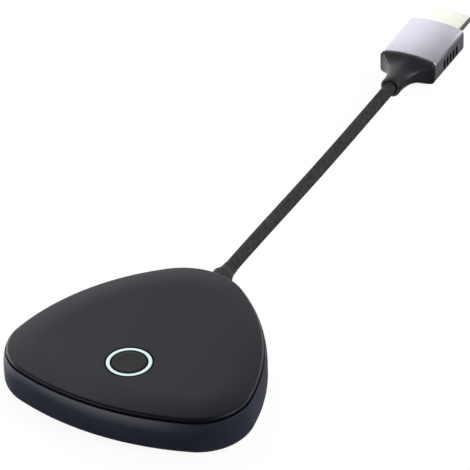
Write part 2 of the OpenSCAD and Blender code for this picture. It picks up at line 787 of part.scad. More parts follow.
module bottom_shell() {
    color("#34363d")
    difference() {
        union() {
            difference() {
                loft([for (a = base_round_steps)
                          [base_round * (1 - cos(a)), base_z + base_round * (1 - sin(a))],
                      for (a = rim_round_steps)
                          [rim_round_w * (1 - cos(a)), rim_z - rim_round_h * (1 - sin(a))],
                      [seam_in, rim_z]]);
                body_prism(wall, floor_z, rim_z + cut);
                body_prism(seam_in, land_z, rim_z + cut);
            }
            for (p = case_screw_places)
                translate([p[0], p[1], base_z + floor_t / 2])
                    cylinder(d = post_d, h = low_post_h + floor_t / 2);
            for (s = board_screw_shares)
                on_board(s, base_z + floor_t / 2)
                    cylinder(d = standoff_d, h = standoff_h + floor_t / 2);
            // Pad that the strain relief bears on
            intersection() {
                body_prism(wall / 2, base_z + floor_t / 2, relief_pad_top);
                block([relief_pad_w, nose_y - pad_y, relief_pad_top], [0, (nose_y + pad_y) / 2, 0]);
            }
            // Seat under the cable clamp
            block([clamp_w, clamp_l, exit_z - clamp_gap / 2 - floor_z + floor_t / 2],
                  [0, clamp_y, base_z + floor_t / 2]);
        }
        for (p = case_screw_places)
            translate([p[0], p[1], 0]) {
                cylinder(d = screw_d + 2 * shank_gap, h = rim_z);
                cylinder(d = screw_head_d + 2 * head_gap, h = case_head_z);
            }
        for (p = feet)
            translate([p[0], p[1], 0])
                cylinder(d = foot_d + 2 * foot_gap, h = foot_t);
        for (s = board_screw_shares)
            on_board(s, board_top - board_screw_l - thread_gap)
                cylinder(d = screw_d + 2 * thread_gap, h = board_screw_l);
        // Hole and seat for the strain relief
        rod_y(relief_hole_d, pad_y - cut, nose_y + cut, exit_z);
        rod_y(relief_d + 2 * relief_gap, relief_seat_y, nose_y + cut, exit_z);
        // Groove for the cable and holes for the clamp's screws
        rod_y(held_d, clamp_y - clamp_l, clamp_y + clamp_l / 2 + cut, exit_z);
        for (side = [-1, 1])
            translate([side * clamp_screw_x, clamp_y, clamp_top - clamp_screw_l - thread_gap])
                cylinder(d = screw_d + 2 * thread_gap, h = clamp_screw_l);
        at_socket()
            along_y(-wall * 2, cut)
                slot_shape(socket_w + 2 * socket_gap, socket_h + 2 * socket_gap);
    }
}

module top_cover() {
    color("#3b3d42")
    difference() {
        union() {
            difference() {
                union() {
                    loft([[cover_in, land_z],
                          for (a = cover_round_steps)
                              [cover_in + cover_round * (1 - cos(a)), edge_z + cover_round * sin(a)],
                          [shoulder_in, shoulder_z],
                          for (s = dome_shares)
                              [shoulder_in + dome_run * s, dome_z(s)]]);
                    body_prism(skirt_in, land_z - skirt_h, land_z + seam_depth);
                }
                loft([[hollow_in, land_z - skirt_h - cut],
                      [hollow_in, dome_z(hollow_share) - cover_t],
                      for (s = dome_shares)
                          if (s > hollow_share) [shoulder_in + dome_run * s, dome_z(s) - cover_t]]);
            }
            for (p = case_screw_places)
                translate([p[0], p[1], low_post_z + post_gap])
                    cylinder(d = post_d, h = ceiling_z - low_post_z - post_gap);
        }
        translate([0, button_y, ceiling_z - cut])
            cylinder(r = ring_r + ring_gap, h = cover_t + 2 * cut);
        for (p = case_screw_places)
            translate([p[0], p[1], low_post_z])
                cylinder(d = screw_d + 2 * thread_gap, h = case_screw_end + thread_gap - low_post_z);
    }
}

module rubber_feet() {
    color("#18181a")
    for (p = feet)
        translate([p[0], p[1], 0])
            cylinder(d = foot_d, h = foot_t);
}

module case_screws() {
    color("#5c5f66")
    for (p = case_screw_places)
        translate([p[0], p[1], case_head_z])
            screw(case_screw_l);
}

module light_ring() {
    color("#c8f4f6")
    translate([0, button_y, 0])
        rotate_extrude()
            polygon([[button_bore_r, top_z], [ring_r, top_z], [ring_r, ceiling_z],
                     [pipe_r + pipe_flange_w, ceiling_z],
                     [pipe_r + pipe_flange_w, ceiling_z - pipe_flange_t],
                     [pipe_r, ceiling_z - pipe_flange_t], [pipe_r, pipe_end_z],
                     [pipe_bore_r, pipe_end_z], [pipe_bore_r, stop_z], [button_bore_r, stop_z]]);
}

module button_cap() {
    stem_r = button_stem_d / 2;
    inner_r = button_r - button_skirt_t;
    collar_r = pipe_bore_r - button_gap;
    collar_low = button_collar_z - button_collar_h;
    color("#3a3c42")
    translate([0, button_y, 0])
        rotate_extrude()
            polygon([[0, plunger_top], [stem_r, plunger_top], [stem_r, top_z - button_t],
                     [inner_r, top_z - button_t], [inner_r, collar_low], [collar_r, collar_low],
                     [collar_r, button_collar_z], [button_r, button_collar_z],
                     [button_r, top_z - button_chamfer], [button_r - button_chamfer, top_z], [0, top_z]]);
}

module switch_case() {
    color("#202225")
    translate([0, button_y, 0])
        difference() {
            union() {
                block([switch_w, switch_w, switch_h], [0, 0, board_top]);
                for (sx = [-1, 1], sy = [-1, 1])
                    block([switch_leg_w, switch_leg_w, switch_leg_w],
                          [sx * (switch_w + switch_leg_w) / 2, sy * switch_w / 3, board_top]);
            }
            translate([0, 0, well_z])
                cylinder(d = plunger_d + 2 * plunger_gap, h = switch_h);
        }
}

module switch_plunger() {
    color("#d8d4c8")
    translate([0, button_y, plunger_z])
        cylinder(d = plunger_d, h = plunger_top - plunger_z);
}

module ring_lamps() {
    color("#f2f4e6")
    translate([0, button_y, 0])
        for (i = [0:lamp_count - 1])
            rotate(360 * (i + 1 / 2) / lamp_count)
                block([lamp_w, lamp_l, lamp_h], [(pipe_r + pipe_bore_r) / 2, 0, board_top]);
}

module main_board() {
    color("#1f5a3c")
    difference() {
        intersection() {
            body_prism(board_in, board_z, board_top);
            translate([-body_w / 2, -body_l / 2, board_z - cut])
                cube([body_w, body_l / 2 + board_front, board_t + 2 * cut]);
        }
        for (p = case_screw_places)
            translate([p[0], p[1], board_z - cut])
                cylinder(d = post_d + 2 * board_post_gap, h = board_t + 2 * cut);
        for (s = board_screw_shares)
            on_board(s, board_z - cut)
                cylinder(d = screw_d + 2 * shank_gap, h = board_t + 2 * cut);
    }
}

module board_screws() {
    color("#9a9ca2")
    for (s = board_screw_shares)
        screw_down(place(s), board_top, board_screw_l);
}

module processor() {
    color("#26272b")
    on_board(processor_shares)
        block([processor_w, processor_w, processor_h]);
}

module thermal_pad() {
    color("#7f8fa8")
    on_board(processor_shares, board_top + processor_h)
        block([processor_w, processor_w, pad_t]);
}

module heat_sink() {
    color("#a9adb4")
    on_board(processor_shares, board_top + processor_h + pad_t) {
        block([sink_w, sink_w, sink_base_t]);
        for (i = [0:fin_count - 1])
            block([fin_t, sink_w, sink_base_t + fin_h],
                  [(sink_w - fin_t) * (i / (fin_count - 1) - 1 / 2), 0, 0]);
    }
}

module video_chip() {
    color("#2a2b30")
    on_board(video_chip_shares)
        block([video_chip_w, video_chip_w, video_chip_h]);
}

module memory_chips() {
    color("#2c2d33")
    for (s = memory_shares)
        on_board(s)
            block([memory_l, memory_w, memory_h]);
}

module power_coils() {
    color("#4a4c52")
    for (s = coil_shares)
        on_board(s) {
            block([coil_w, coil_w, coil_h / 4]);
            cylinder(d = coil_w * 3 / 4, h = coil_h);
            block([coil_w, coil_w, coil_h / 4], [0, 0, coil_h * 3 / 4]);
        }
}

module filter_capacitors() {
    color("#b9bcc2")
    for (s = capacitor_shares)
        on_board(s) {
            block([capacitor_d, capacitor_d, capacitor_h / 4]);
            cylinder(d = capacitor_d, h = capacitor_h);
        }
}

module clock_crystal() {
    color("#c4c6ca")
    on_board(crystal_shares)
        block([crystal_l, crystal_w, crystal_h]);
}

module small_parts() {
    color("#8a6f52")
    for (s = small_part_shares, i = [0:small_part_count - 1])
        on_board(s)
            block([small_part_w, small_part_l, small_part_h],
                  [2 * middle(i, small_part_count) * small_part_w, 0, 0]);
}

module radio_board() {
    color("#1a4d6b")
    on_board(radio_shares)
        block([radio_l, radio_w, radio_t]);
}

module radio_shield() {
    l = radio_l - 2 * shield_margin;
    w = radio_w - 2 * shield_margin;
    color("#b4b7bb")
    on_board(radio_shares, board_top + radio_t)
        difference() {
            block([l, w, shield_h]);
            block([l - 2 * shield_t, w - 2 * shield_t, shield_h], [0, 0, -shield_t]);
        }
}

// An inverted-F strip: a sheet-metal arm on two legs with its top folded over
module antenna() {
    on_board(antenna_shares)
        rotate(antenna_turn) {
            block([antenna_l, antenna_w, antenna_t], [0, 0, antenna_h - antenna_t]);
            for (shift = [0, 2 * antenna_leg_w])
                translate([-antenna_l / 2 + shift, antenna_w / 2 - antenna_t, 0])
                    cube([antenna_leg_w, antenna_t, antenna_h]);
        }
}

module antenna_right() {
    color("#c9b37a") antenna();
}

module antenna_left() {
    color("#c9b37a") mirror([1, 0, 0]) antenna();
}

module socket_shell() {
    color("#b9bbc0")
    at_socket()
        difference() {
            along_y(-socket_sink - socket_l, -socket_sink)
                slot_shape(socket_w, socket_h);
            along_y(-socket_sink - socket_l - cut, -socket_sink + cut)
                slot_shape(socket_w - 2 * socket_t, socket_h - 2 * socket_t);
        }
}

module socket_tongue() {
    color("#1d1e20")
    at_socket() {
        along_y(-socket_sink - socket_l, -socket_sink - tongue_l - socket_t)
            slot_shape(socket_w - 2 * socket_t - 2 * tongue_gap, socket_h - 2 * socket_t - 2 * tongue_gap);
        along_y(-socket_sink - socket_l, -socket_sink - socket_t)
            square([tongue_w, tongue_t], center = true);
    }
}

module wire_header() {
    color("#e4ddc8")
    difference() {
        block([housing_w + 2 * housing_end, header_l, header_h], [0, header_y + header_l / 2, board_top]);
        block([housing_w - 2 * housing_end, header_l, header_h],
              [0, header_y + header_l / 2 + housing_end, board_top + housing_end]);
    }
}

module wire_housing() {
    mid_y = housing_y + housing_l / 2;
    color("#efe9d8")
    difference() {
        block([housing_w, housing_l, housing_h], [0, mid_y, board_top]);
        for (i = [0:wire_total - 1])
            block([wire_d, housing_l / 3, housing_h],
                  [middle(i, wire_total) * wire_pitch, mid_y, board_top + housing_h * 3 / 4]);
    }
}

// Wires fan out from the cable's end to the housing
module body_wires() {
    color("#c9503c")
    for (col = [0:wire_rows - 1], row = [0:wire_rows - 1])
        wire([middle(col, wire_rows) * wire_pack, jacket_y - wire_gap,
              exit_z + middle(row, wire_rows) * wire_pack],
             [middle(col * wire_rows + row, wire_total) * wire_pitch, housing_y + housing_l + wire_gap,
              wire_z], wire_d);
}

// The part of the cable that the body holds
module cable_tail() {
    color("#3c3e42")
    rod_y(cable_d, jacket_y, relief_end_y, exit_z);
}

module cable_clamp() {
    color("#2b2c30")
    difference() {
        block([clamp_w, clamp_l, clamp_top - exit_z - clamp_gap / 2], [0, clamp_y, exit_z + clamp_gap / 2]);
        rod_y(held_d, clamp_y - clamp_l, clamp_y + clamp_l, exit_z);
        for (side = [-1, 1])
            translate([side * clamp_screw_x, clamp_y, exit_z])
                cylinder(d = screw_d + 2 * shank_gap, h = clamp_top);
    }
}

module clamp_screws() {
    color("#9a9ca2")
    for (side = [-1, 1])
        screw_down([side * clamp_screw_x, clamp_y], clamp_top, clamp_screw_l);
}

// Moulded rubber: a flange inside the wall, a neck through it and a bell outside
module strain_relief() {
    bore_r = held_d / 2;
    tip_r = bore_r + relief_tip_t;
    bell_r = relief_d / 2;
    bell_y = nose_y + relief_straight_l;
    bell_l = relief_end_y - bell_y;
    bell = [for (share = relief_shares)
                [tip_r + (bell_r - tip_r) * pow(1 - share, 2), bell_y + bell_l * share]];
    flange_y = pad_y - relief_flange_t;
    color("#2c2e31")
    translate([0, 0, exit_z])
        rotate([-90, 0, 0])
            rotate_extrude()
                polygon(concat([[bore_r, flange_y], [relief_flange_d / 2, flange_y],
                                [relief_flange_d / 2, pad_y], [relief_neck_d / 2, pad_y],
                                [relief_neck_d / 2, relief_seat_y], [bell_r, relief_seat_y]],
                               bell, [[bore_r, relief_end_y]]));
}

module cable() {
    color("#43464a")
    skin([for (i = [0:route_n - 1]) cable_ring(i)]);
}

module plug_boot() {
    color("#2f3136")
    difference() {
        union() {
            skin(concat([boot_ring(1, sleeve_y), boot_ring(1, rim_y)],
                        [for (i = [flare_steps - 1:-1:0])
                            let (share = i / flare_steps)
                            boot_ring(flare(share), collar_y + (rim_y - collar_y) * share)],
                        [boot_ring(0, boot_y + collar_chamfer),
                         boot_ring(0, boot_y, collar_d - 2 * collar_chamfer)]));
            translate([0, 0, plug_z])
                along_y(rim_y, spigot_y)
                    polygon(sleeve_outline(sleeve_t + sleeve_gap));
        }
        rod_y(cable_d + 2 * collar_gap, boot_y - cut, cable_end_y, plug_z);
        rod_y(held_d, boot_y, spigot_y + cut, plug_z);
        rod_y(ferrule_d + 2 * cable_gap, plug_jacket_end - ferrule_l, spigot_y + cut, plug_z);
    }
}

module plug_cable_end() {
    color("#3c3e42")
    rod_y(cable_d, cable_end_y, plug_jacket_end, plug_z);
}

module crimp_ferrule() {
    color("#b49a5a")
    difference() {
        rod_y(ferrule_d, plug_jacket_end - ferrule_l, plug_jacket_end, plug_z);
        rod_y(held_d, plug_jacket_end - ferrule_l - cut, plug_jacket_end + cut, plug_z);
    }
}

module plug_sleeve() {
    color("#c3c4d0")
    translate([0, 0, plug_z])
        difference() {
            along_y(sleeve_y, sleeve_front)
                polygon(sleeve_outline(0));
            along_y(sleeve_y - cut, sleeve_front + cut)
                polygon(sleeve_outline(sleeve_t));
            for (i = [0:slot_count - 1])
                block([sleeve_w + 2 * cut, slot_w, slot_h],
                      [0, sleeve_y + slot_start + slot_w / 2 + i * slot_pitch, -slot_drop - slot_h / 2]);
        }
}

module plug_bezel() {
    color("#2b2d31")
    translate([0, 0, plug_z])
        difference() {
            along_y(bezel_y, bezel_front)
                polygon(sleeve_outline(sleeve_t + sleeve_gap));
            along_y(bezel_y - cut, bezel_front + cut)
                polygon(d_outline(-insulator_gap));
        }
}

module connector_shell() {
    color("#d9d8cf")
    translate([0, 0, plug_z])
        difference() {
            along_y(shell_y, mouth_y)
                polygon(d_outline(0));
            along_y(shell_y - cut, mouth_y + cut)
                polygon(d_outline(shell_t));
            for (side = [-1, 1])
                block([latch_w, latch_l, shell_h / 2 + cut],
                      [side * latch_pitch / 2, mouth_y - latch_start - latch_l / 2, -shell_h / 2 - cut]);
        }
}

module connector_insulator() {
    color("#1b1c1e")
    translate([0, 0, plug_z])
        difference() {
            along_y(shell_y, insulator_front)
                polygon(d_outline(shell_t + insulator_gap));
            along_y(slot_bottom_y, insulator_front + cut)
                square([insulator_slot_w, insulator_slot_h], center = true);
        }
}

// Two facing rows of spring contacts in the insulator's slot
module connector_contacts() {
    color("#d8b45c")
    for (row = [0, 1], i = [0:contact_count - 1 - row]) {
        x = middle(i, contact_count - row) * contact_pitch;
        z = row == 0 ? plug_z + insulator_slot_h / 2 - contact_t : plug_z - insulator_slot_h / 2;
        translate([x - contact_w / 2, slot_bottom_y, z])
            cube([contact_w, insulator_slot_l - contact_w, contact_t]);
    }
}

module plug_board() {
    color("#1f5a3c")
    block([plug_board_w, plug_board_l, plug_board_t], [0, plug_board_mid, plug_z - plug_board_t / 2]);
}

module plug_chip() {
    color("#26272b")
    block([plug_chip_l, plug_chip_l, plug_chip_h], [0, plug_board_mid, plug_z + plug_board_t / 2]);
}

module plug_wires() {
    color("#c9503c")
    for (side = [-1, 1], i = [0:wire_rows - 1])
        rod_y(wire_d, plug_jacket_end, plug_board_y + plug_solder_l,
              plug_z + side * (plug_board_t + wire_d) / 2, middle(i, wire_rows) * wire_pack);
}

bottom_shell();
top_cover();
rubber_feet();
case_screws();
light_ring();
button_cap();
switch_case();
switch_plunger();
ring_lamps();
main_board();
board_screws();
processor();
thermal_pad();
heat_sink();
video_chip();
memory_chips();
power_coils();
filter_capacitors();
clock_crystal();
small_parts();
radio_board();
radio_shield();
antenna_left();
antenna_right();
socket_shell();
socket_tongue();
wire_header();
wire_housing();
body_wires();
cable_tail();
cable_clamp();
clamp_screws();
strain_relief();
cable();
plug_boot();
plug_cable_end();
crimp_ferrule();
plug_sleeve();
plug_bezel();
connector_shell();
connector_insulator();
connector_contacts();
plug_board();
plug_chip();
plug_wires();
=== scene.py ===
"""Looks of a wireless video transmitter.

A rounded three-cornered body with a lit push button lies on a pale floor. A short captive
lead leaves its nose through a rubber strain relief and ends in a video plug. All lengths
are in metres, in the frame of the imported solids: +Y runs from the body to the plug.
"""
import logging
import math
from dataclasses import dataclass, field
from enum import Enum
from typing import Iterable, Sequence

import bmesh
import bpy
from mathutils import Matrix, Vector


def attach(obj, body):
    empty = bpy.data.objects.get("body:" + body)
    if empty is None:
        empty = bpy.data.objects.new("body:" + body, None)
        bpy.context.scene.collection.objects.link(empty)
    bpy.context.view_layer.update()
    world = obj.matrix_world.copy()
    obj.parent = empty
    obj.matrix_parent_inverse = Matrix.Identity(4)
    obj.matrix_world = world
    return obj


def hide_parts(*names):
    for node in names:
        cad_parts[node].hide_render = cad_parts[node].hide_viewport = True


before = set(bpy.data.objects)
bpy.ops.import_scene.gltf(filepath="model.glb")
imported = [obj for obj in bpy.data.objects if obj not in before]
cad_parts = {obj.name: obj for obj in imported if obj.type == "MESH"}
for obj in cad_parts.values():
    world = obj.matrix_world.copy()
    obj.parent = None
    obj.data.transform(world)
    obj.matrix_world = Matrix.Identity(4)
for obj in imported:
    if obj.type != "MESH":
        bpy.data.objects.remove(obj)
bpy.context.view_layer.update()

MM = 0.001
UP = Vector((0, 0, 1))
FORWARD = Vector((0, 1, 0))
RIGHT = Vector((1, 0, 0))
# Distance in metres within which two points are the same
NEAR = 1e-6
# Sides that a patch of a rounding can have: a face with more is a cap
MANY_SIDES = 8
Colour = tuple[float, float, float]
Pair = tuple[float, float]
# Centre of the button in plan, in millimetres
BUTTON_SPOT: Pair = (0.0, -16.3)
log = logging.getLogger("transmitter")


class Body(Enum):
    """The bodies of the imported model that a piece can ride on."""

    HOUSING = "housing"
    BUTTON = "button"


class Slot(Enum):
    """The material slots of the record, one given for each new piece."""

    SHELL = "shell_plastic"
    COVER = "cover_plastic"
    FOOT = "foot_rubber"
    LIGHT = "light_guide"
    CABLE = "cable_jacket"
    RELIEF = "relief_rubber"
    BOOT = "boot_plastic"
    SLEEVE = "sleeve_metal"
    CONNECTOR = "connector_metal"


def bearing(direction: Vector) -> float:
    """Compass bearing of a direction in the XY plane, in degrees from +Y towards +X."""
    return math.degrees(math.atan2(direction.x, direction.y))


def toward(degrees: float) -> Vector:
    """Unit vector in the XY plane at a compass bearing."""
    return Vector((math.sin(math.radians(degrees)), math.cos(math.radians(degrees)), 0))


def choose(*pieces: bpy.types.Object) -> None:
    """Selects objects, and nothing else, and makes the first one active.

    Args:
        *pieces: The objects to select.
    """
    bpy.ops.object.select_all(action="DESELECT")
    for piece in pieces:
        piece.select_set(True)
    bpy.context.view_layer.objects.active = pieces[0]


def arched(radius: float, angles: Sequence[float]) -> list[Pair]:
    """Inset and rise of each step of an arc through angles from the upright."""
    return [(radius * (math.cos(a) - math.cos(b)), radius * (math.sin(b) - math.sin(a)))
            for a, b in zip(angles, angles[1:])]


def rounding(radius: float, steps: int) -> list[Pair]:
    """Inset and rise of each step of a quarter round from the upright to the level."""
    return arched(radius, [math.pi / 2 * i / steps for i in range(steps + 1)])


class Shape:
    """A piece that is shaped with Blender's own operators, as by hand."""

    def __init__(self, name: str, start: Vector) -> None:
        """Puts one vertex at a point, ready to be drawn on.

        Args:
            name: Name of the piece.
            start: The first point, in metres.
        """
        bpy.ops.object.select_all(action="DESELECT")
        bpy.ops.mesh.primitive_plane_add(size=MM, location=start)
        bpy.ops.object.transform_apply(location=True, rotation=True, scale=True)
        self.object = bpy.context.object
        self.object.name = self.object.data.name = name
        self.tip = start.copy()
        bpy.ops.object.mode_set(mode="EDIT")
        bpy.ops.mesh.select_all(action="SELECT")
        bpy.ops.mesh.merge(type="CENTER")
        bpy.ops.mesh.select_all(action="SELECT")

    def line(self, *ends: Vector) -> "Shape":
        """Draws straight edges from the last point to each of the given ones.

        Args:
            *ends: The points, in order.

        Returns:
            The shape itself.
        """
        for end in ends:
            bpy.ops.mesh.extrude_region_move(TRANSFORM_OT_translate={"value": end - self.tip})
            self.tip = end.copy()
        return self

    def arc(self, centre: Vector, degrees: float, steps: int, axis: Vector = UP) -> "Shape":
        """Draws an arc from the last point.

        Args:
            centre: Centre of the arc.
            degrees: Angle, clockwise as seen against the axis.
            steps: Number of edges.
            axis: Axis of the arc.

        Returns:
            The shape itself.
        """
        angle = math.radians(degrees)
        bpy.ops.mesh.spin(steps=steps, angle=angle, center=centre, axis=axis)
        self.tip = centre + Matrix.Rotation(-angle, 3, axis) @ (self.tip - centre)
        return self

    @classmethod
    def turned(cls, name: str, centre: Vector, axis: Vector, profile: Sequence[Pair],
               steps: int) -> "Shape":
        """Turns a profile once round an axis into a closed solid.

        Args:
            name: Name of the piece.
            centre: A point on the axis.
            axis: Axis of the turn, square to +X.
            profile: Points, given as distance from the axis and place along it.
            steps: Number of steps in the turn.

        Returns:
            The finished shape.
        """
        points = [centre + RIGHT * away + axis * along for away, along in profile]
        shape = cls(name, points[0]).line(*points[1:]).weld()
        bpy.ops.mesh.spin(steps=steps, angle=math.tau, center=centre, axis=axis)
        return shape.done()

    def weld(self) -> "Shape":
        """Merges doubles and selects everything.

        Returns:
            The shape itself.
        """
        bpy.ops.mesh.select_all(action="SELECT")
        bpy.ops.mesh.remove_doubles(threshold=NEAR)
        bpy.ops.mesh.select_all(action="SELECT")
        return self

    def close(self) -> "Shape":
        """Joins the last point to the first and fills the outline with a face.

        Returns:
            The shape itself.
        """
        self.weld()
        bpy.ops.mesh.edge_face_add()
        return self

    def extrude(self, offset: Vector) -> "Shape":
        """Extrudes the selected face along a vector."""
        bpy.ops.mesh.extrude_region_move(TRANSFORM_OT_translate={"value": offset})
        return self

    def step(self, inset: float, offset: Vector) -> "Shape":
        """Insets the selected face and moves it, which makes one ring of a rounding.

        Args:
            inset: Width of the inset.
            offset: Way that the face then moves.

        Returns:
            The shape itself.
        """
        bpy.ops.mesh.inset(thickness=max(inset, 0.0), depth=0)
        bpy.ops.transform.translate(value=offset)
        return self

    def steps(self, levels: Sequence[Pair], axis: Vector = UP) -> "Shape":
        """Runs the selected face through levels, given as inset and travel from the last.

        Args:
            levels: Inset and travel of each level.
            axis: Direction of the travel.

        Returns:
            The shape itself.
        """
        for inset, travel in levels:
            self.step(inset, axis * travel)
        return self

    def pick_cap(self, axis: Vector, place: float) -> "Shape":
        """Selects the many-sided face at a place along an axis, and nothing else.

        Args:
            axis: One of the main directions.
            place: Place of the face along it.

        Returns:
            The shape itself.
        """
        bpy.ops.mesh.select_all(action="DESELECT")
        bpy.ops.mesh.select_mode(type="FACE")
        mesh = bmesh.from_edit_mesh(self.object.data)
        for face in mesh.faces:
            gap = abs(face.calc_center_median().dot(axis) - place)
            face.select_set(len(face.verts) > MANY_SIDES and gap < NEAR)
        bmesh.update_edit_mesh(self.object.data)
        return self

    def done(self) -> "Shape":
        """Leaves edit mode, with doubles merged and every face turned outwards.

        Returns:
            The shape itself.
        """
        self.weld()
        bpy.ops.mesh.normals_make_consistent(inside=False)
        bpy.ops.mesh.select_all(action="DESELECT")
        bpy.ops.mesh.select_mode(type="VERT")
        bpy.ops.object.mode_set(mode="OBJECT")
        return self

    def cut(self, *tools: "Shape") -> "Shape":
        """Cuts other finished shapes out of this one and removes them.

        Args:
            *tools: The shapes, cut one after the other.

        Returns:
            The shape itself.
        """
        for tool in tools:
            choose(self.object)
            modifier = self.object.modifiers.new("cut", "BOOLEAN")
            modifier.operation = "DIFFERENCE"
            modifier.solver = "EXACT"
            modifier.object = tool.object
            bpy.ops.object.modifier_apply(modifier=modifier.name)
            bpy.data.objects.remove(tool.object)
        return self

    def join(self, *others: "Shape") -> "Shape":
        """Takes other finished shapes into this object.

        Args:
            *others: The shapes.

        Returns:
            The shape itself.
        """
        choose(self.object, *[other.object for other in others])
        bpy.ops.object.join()
        return self

    def copy(self, offset: Vector) -> "Shape":
        """Copies the finished shape with a mesh of its own, and moves the copy.

        Args:
            offset: Way from the shape to its copy.

        Returns:
            The copy.
        """
        twin = object.__new__(Shape)
        twin.object = self.object.copy()
        twin.object.data = self.object.data.copy()
        twin.tip = self.tip.copy()
        twin.object.data.transform(Matrix.Translation(offset))
        bpy.context.collection.objects.link(twin.object)
        return twin

    def place(self, body: Body, slot: Slot, finish: "Finish", replaces: Iterable[str] = (),
              smooth: float = 30.0) -> bpy.types.Object:
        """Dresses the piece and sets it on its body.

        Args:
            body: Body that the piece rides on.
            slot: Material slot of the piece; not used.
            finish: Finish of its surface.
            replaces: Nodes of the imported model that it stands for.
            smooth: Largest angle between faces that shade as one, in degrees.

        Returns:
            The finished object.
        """
        choose(self.object)
        bpy.ops.object.shade_smooth_by_angle(angle=math.radians(smooth))
        settle(self.object, body, finish, replaces)
        return self.object


def settle(piece: bpy.types.Object, body: Body, finish: "Finish",
           replaces: Iterable[str] = ()) -> None:
    """Gives a piece its finish, its body and the nodes that it stands for.

    Args:
        piece: The finished object.
        body: Body that it rides on.
        finish: Finish of its surface.
        replaces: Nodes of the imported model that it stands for.
    """
    piece.data.materials.clear()
    piece.data.materials.append(finish.material())
    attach(piece, body.value)
    if replaces:
        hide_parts(*replaces)
    log.info("%s: %d faces", piece.name, len(piece.data.polygons))


class Signal:
    """A number that varies over a surface and takes part in Python sums."""

    def __init__(self, graph: "Graph", socket: bpy.types.NodeSocket) -> None:
        """Wraps the socket of a node."""
        self.graph = graph
        self.socket = socket

    def __add__(self, other: "Signal | float") -> "Signal":
        """Sum of two signals."""
        return self.graph.maths("ADD", self, other)

    def __sub__(self, other: "Signal | float") -> "Signal":
        """Difference of two signals."""
        return self.graph.maths("SUBTRACT", self, other)

    def __rsub__(self, other: float) -> "Signal":
        """Difference of a number and the signal."""
        return self.graph.maths("SUBTRACT", other, self)

    def __mul__(self, other: "Signal | float") -> "Signal":
        """Product of two signals."""
        return self.graph.maths("MULTIPLY", self, other)

    __radd__ = __add__
    __rmul__ = __mul__

    def wave(self) -> "Signal":
        """Sine of the signal."""
        return self.graph.maths("SINE", self)

    def highest(self, other: "Signal | float") -> "Signal":
        """The larger of two signals."""
        return self.graph.maths("MAXIMUM", self, other)

    def lowest(self, other: "Signal | float") -> "Signal":
        """The smaller of two signals."""
        return self.graph.maths("MINIMUM", self, other)

    def between(self, low: float, high: float) -> "Signal":
        """Rises smoothly from 0 at one value to 1 at another."""
        return self.graph.make("ShaderNodeMapRange", {0: self, 1: low, 2: high},
                               interpolation_type="SMOOTHSTEP")

    def inside(self, rise: Pair, fall: Pair) -> "Signal":
        """Rises smoothly from 0 to 1 over one range and falls back over another."""
        return self.between(*rise) * (1 - self.between(*fall))


class Graph:
    """The node tree of one finish, or of the surroundings."""

    def __init__(self, owner: bpy.types.Material | bpy.types.World, shader: str) -> None:
        """Takes over the tree of a material or a world, with one shader that is there already.

        Args:
            owner: The material or the world.
            shader: Name of its shader node.
        """
        owner.use_nodes = True
        self.owner = owner
        self.tree = owner.node_tree
        self.shader = self.tree.nodes[shader]

    def make(self, kind: str, inputs: dict[int | str, object], output: int | str = 0,
             **settings: object) -> Signal:
        """Adds one node.

        Args:
            kind: Type of the node.
            inputs: Values or signals by socket.
            output: Socket that the result is read from.
            **settings: Properties of the node, set before its sockets.

        Returns:
            The chosen output.
        """
        node = self.tree.nodes.new(kind)
        for key, value in settings.items():
            setattr(node, key, value)
        for key, value in inputs.items():
            if isinstance(value, Signal):
                self.tree.links.new(value.socket, node.inputs[key])
            else:
                node.inputs[key].default_value = value
        return Signal(self, node.outputs[output])

    def maths(self, operation: str, first: Signal | float, second: Signal | float = 0.0) -> Signal:
        """Adds one Math node."""
        return self.make("ShaderNodeMath", {0: first, 1: second}, operation=operation)

    def place(self, stretch: Sequence[float] = (1, 1, 1)) -> Signal:
        """Place on the object in millimetres, stretched along its axes."""
        point = self.make("ShaderNodeTexCoord", {}, "Object")
        return self.make("ShaderNodeVectorMath", {0: point, 1: [s / MM for s in stretch]},
                         operation="MULTIPLY")

    def axis(self, name: str) -> Signal:
        """One coordinate on the object, in millimetres."""
        return self.make("ShaderNodeSeparateXYZ", {0: self.place()}, name)

    def reach(self, centre: Sequence[float]) -> Signal:
        """Distance in plan from a point, in millimetres.

        Args:
            centre: The point, in millimetres.

        Returns:
            The distance.
        """
        away = self.make("ShaderNodeVectorMath", {0: self.place((1, 1, 0)), 1: centre},
                         operation="SUBTRACT")
        return self.make("ShaderNodeVectorMath", {0: away}, "Value", operation="LENGTH")

    def noise(self, size: float, detail: float, stretch: Sequence[float] = (1, 1, 1)) -> Signal:
        """Soft random pattern with cells of a given size in millimetres."""
        return self.make("ShaderNodeTexNoise", {"Vector": self.place(stretch), "Scale": 1 / size,
                                                "Detail": detail, "Roughness": 0.55})

    def blend(self, mask: Signal, low: Colour | Signal, high: Colour | Signal) -> Signal:
        """Colour that goes from one to another with a mask."""
        ends = [end if isinstance(end, Signal) else (*end, 1) for end in (low, high)]
        return self.make("ShaderNodeMix", {0: mask, 6: ends[0], 7: ends[1]}, 2, data_type="RGBA")

    def bump(self, height: Signal, depth: float) -> Signal:
        """Normal of a relief with a given depth in millimetres."""
        return self.make("ShaderNodeBump", {"Strength": 1.0, "Distance": depth * MM,
                                            "Height": height})

    def feed(self, **sockets: object) -> None:
        """Sets the surface shader's sockets, with spaces in their names as underscores.

        Args:
            **sockets: A signal, a number or a colour for each socket.
        """
        for key, value in sockets.items():
            socket = self.shader.inputs[key.replace("_", " ")]
            if isinstance(value, Signal):
                self.tree.links.new(value.socket, socket)
            else:
                socket.default_value = (*value, 1) if isinstance(value, tuple) else value


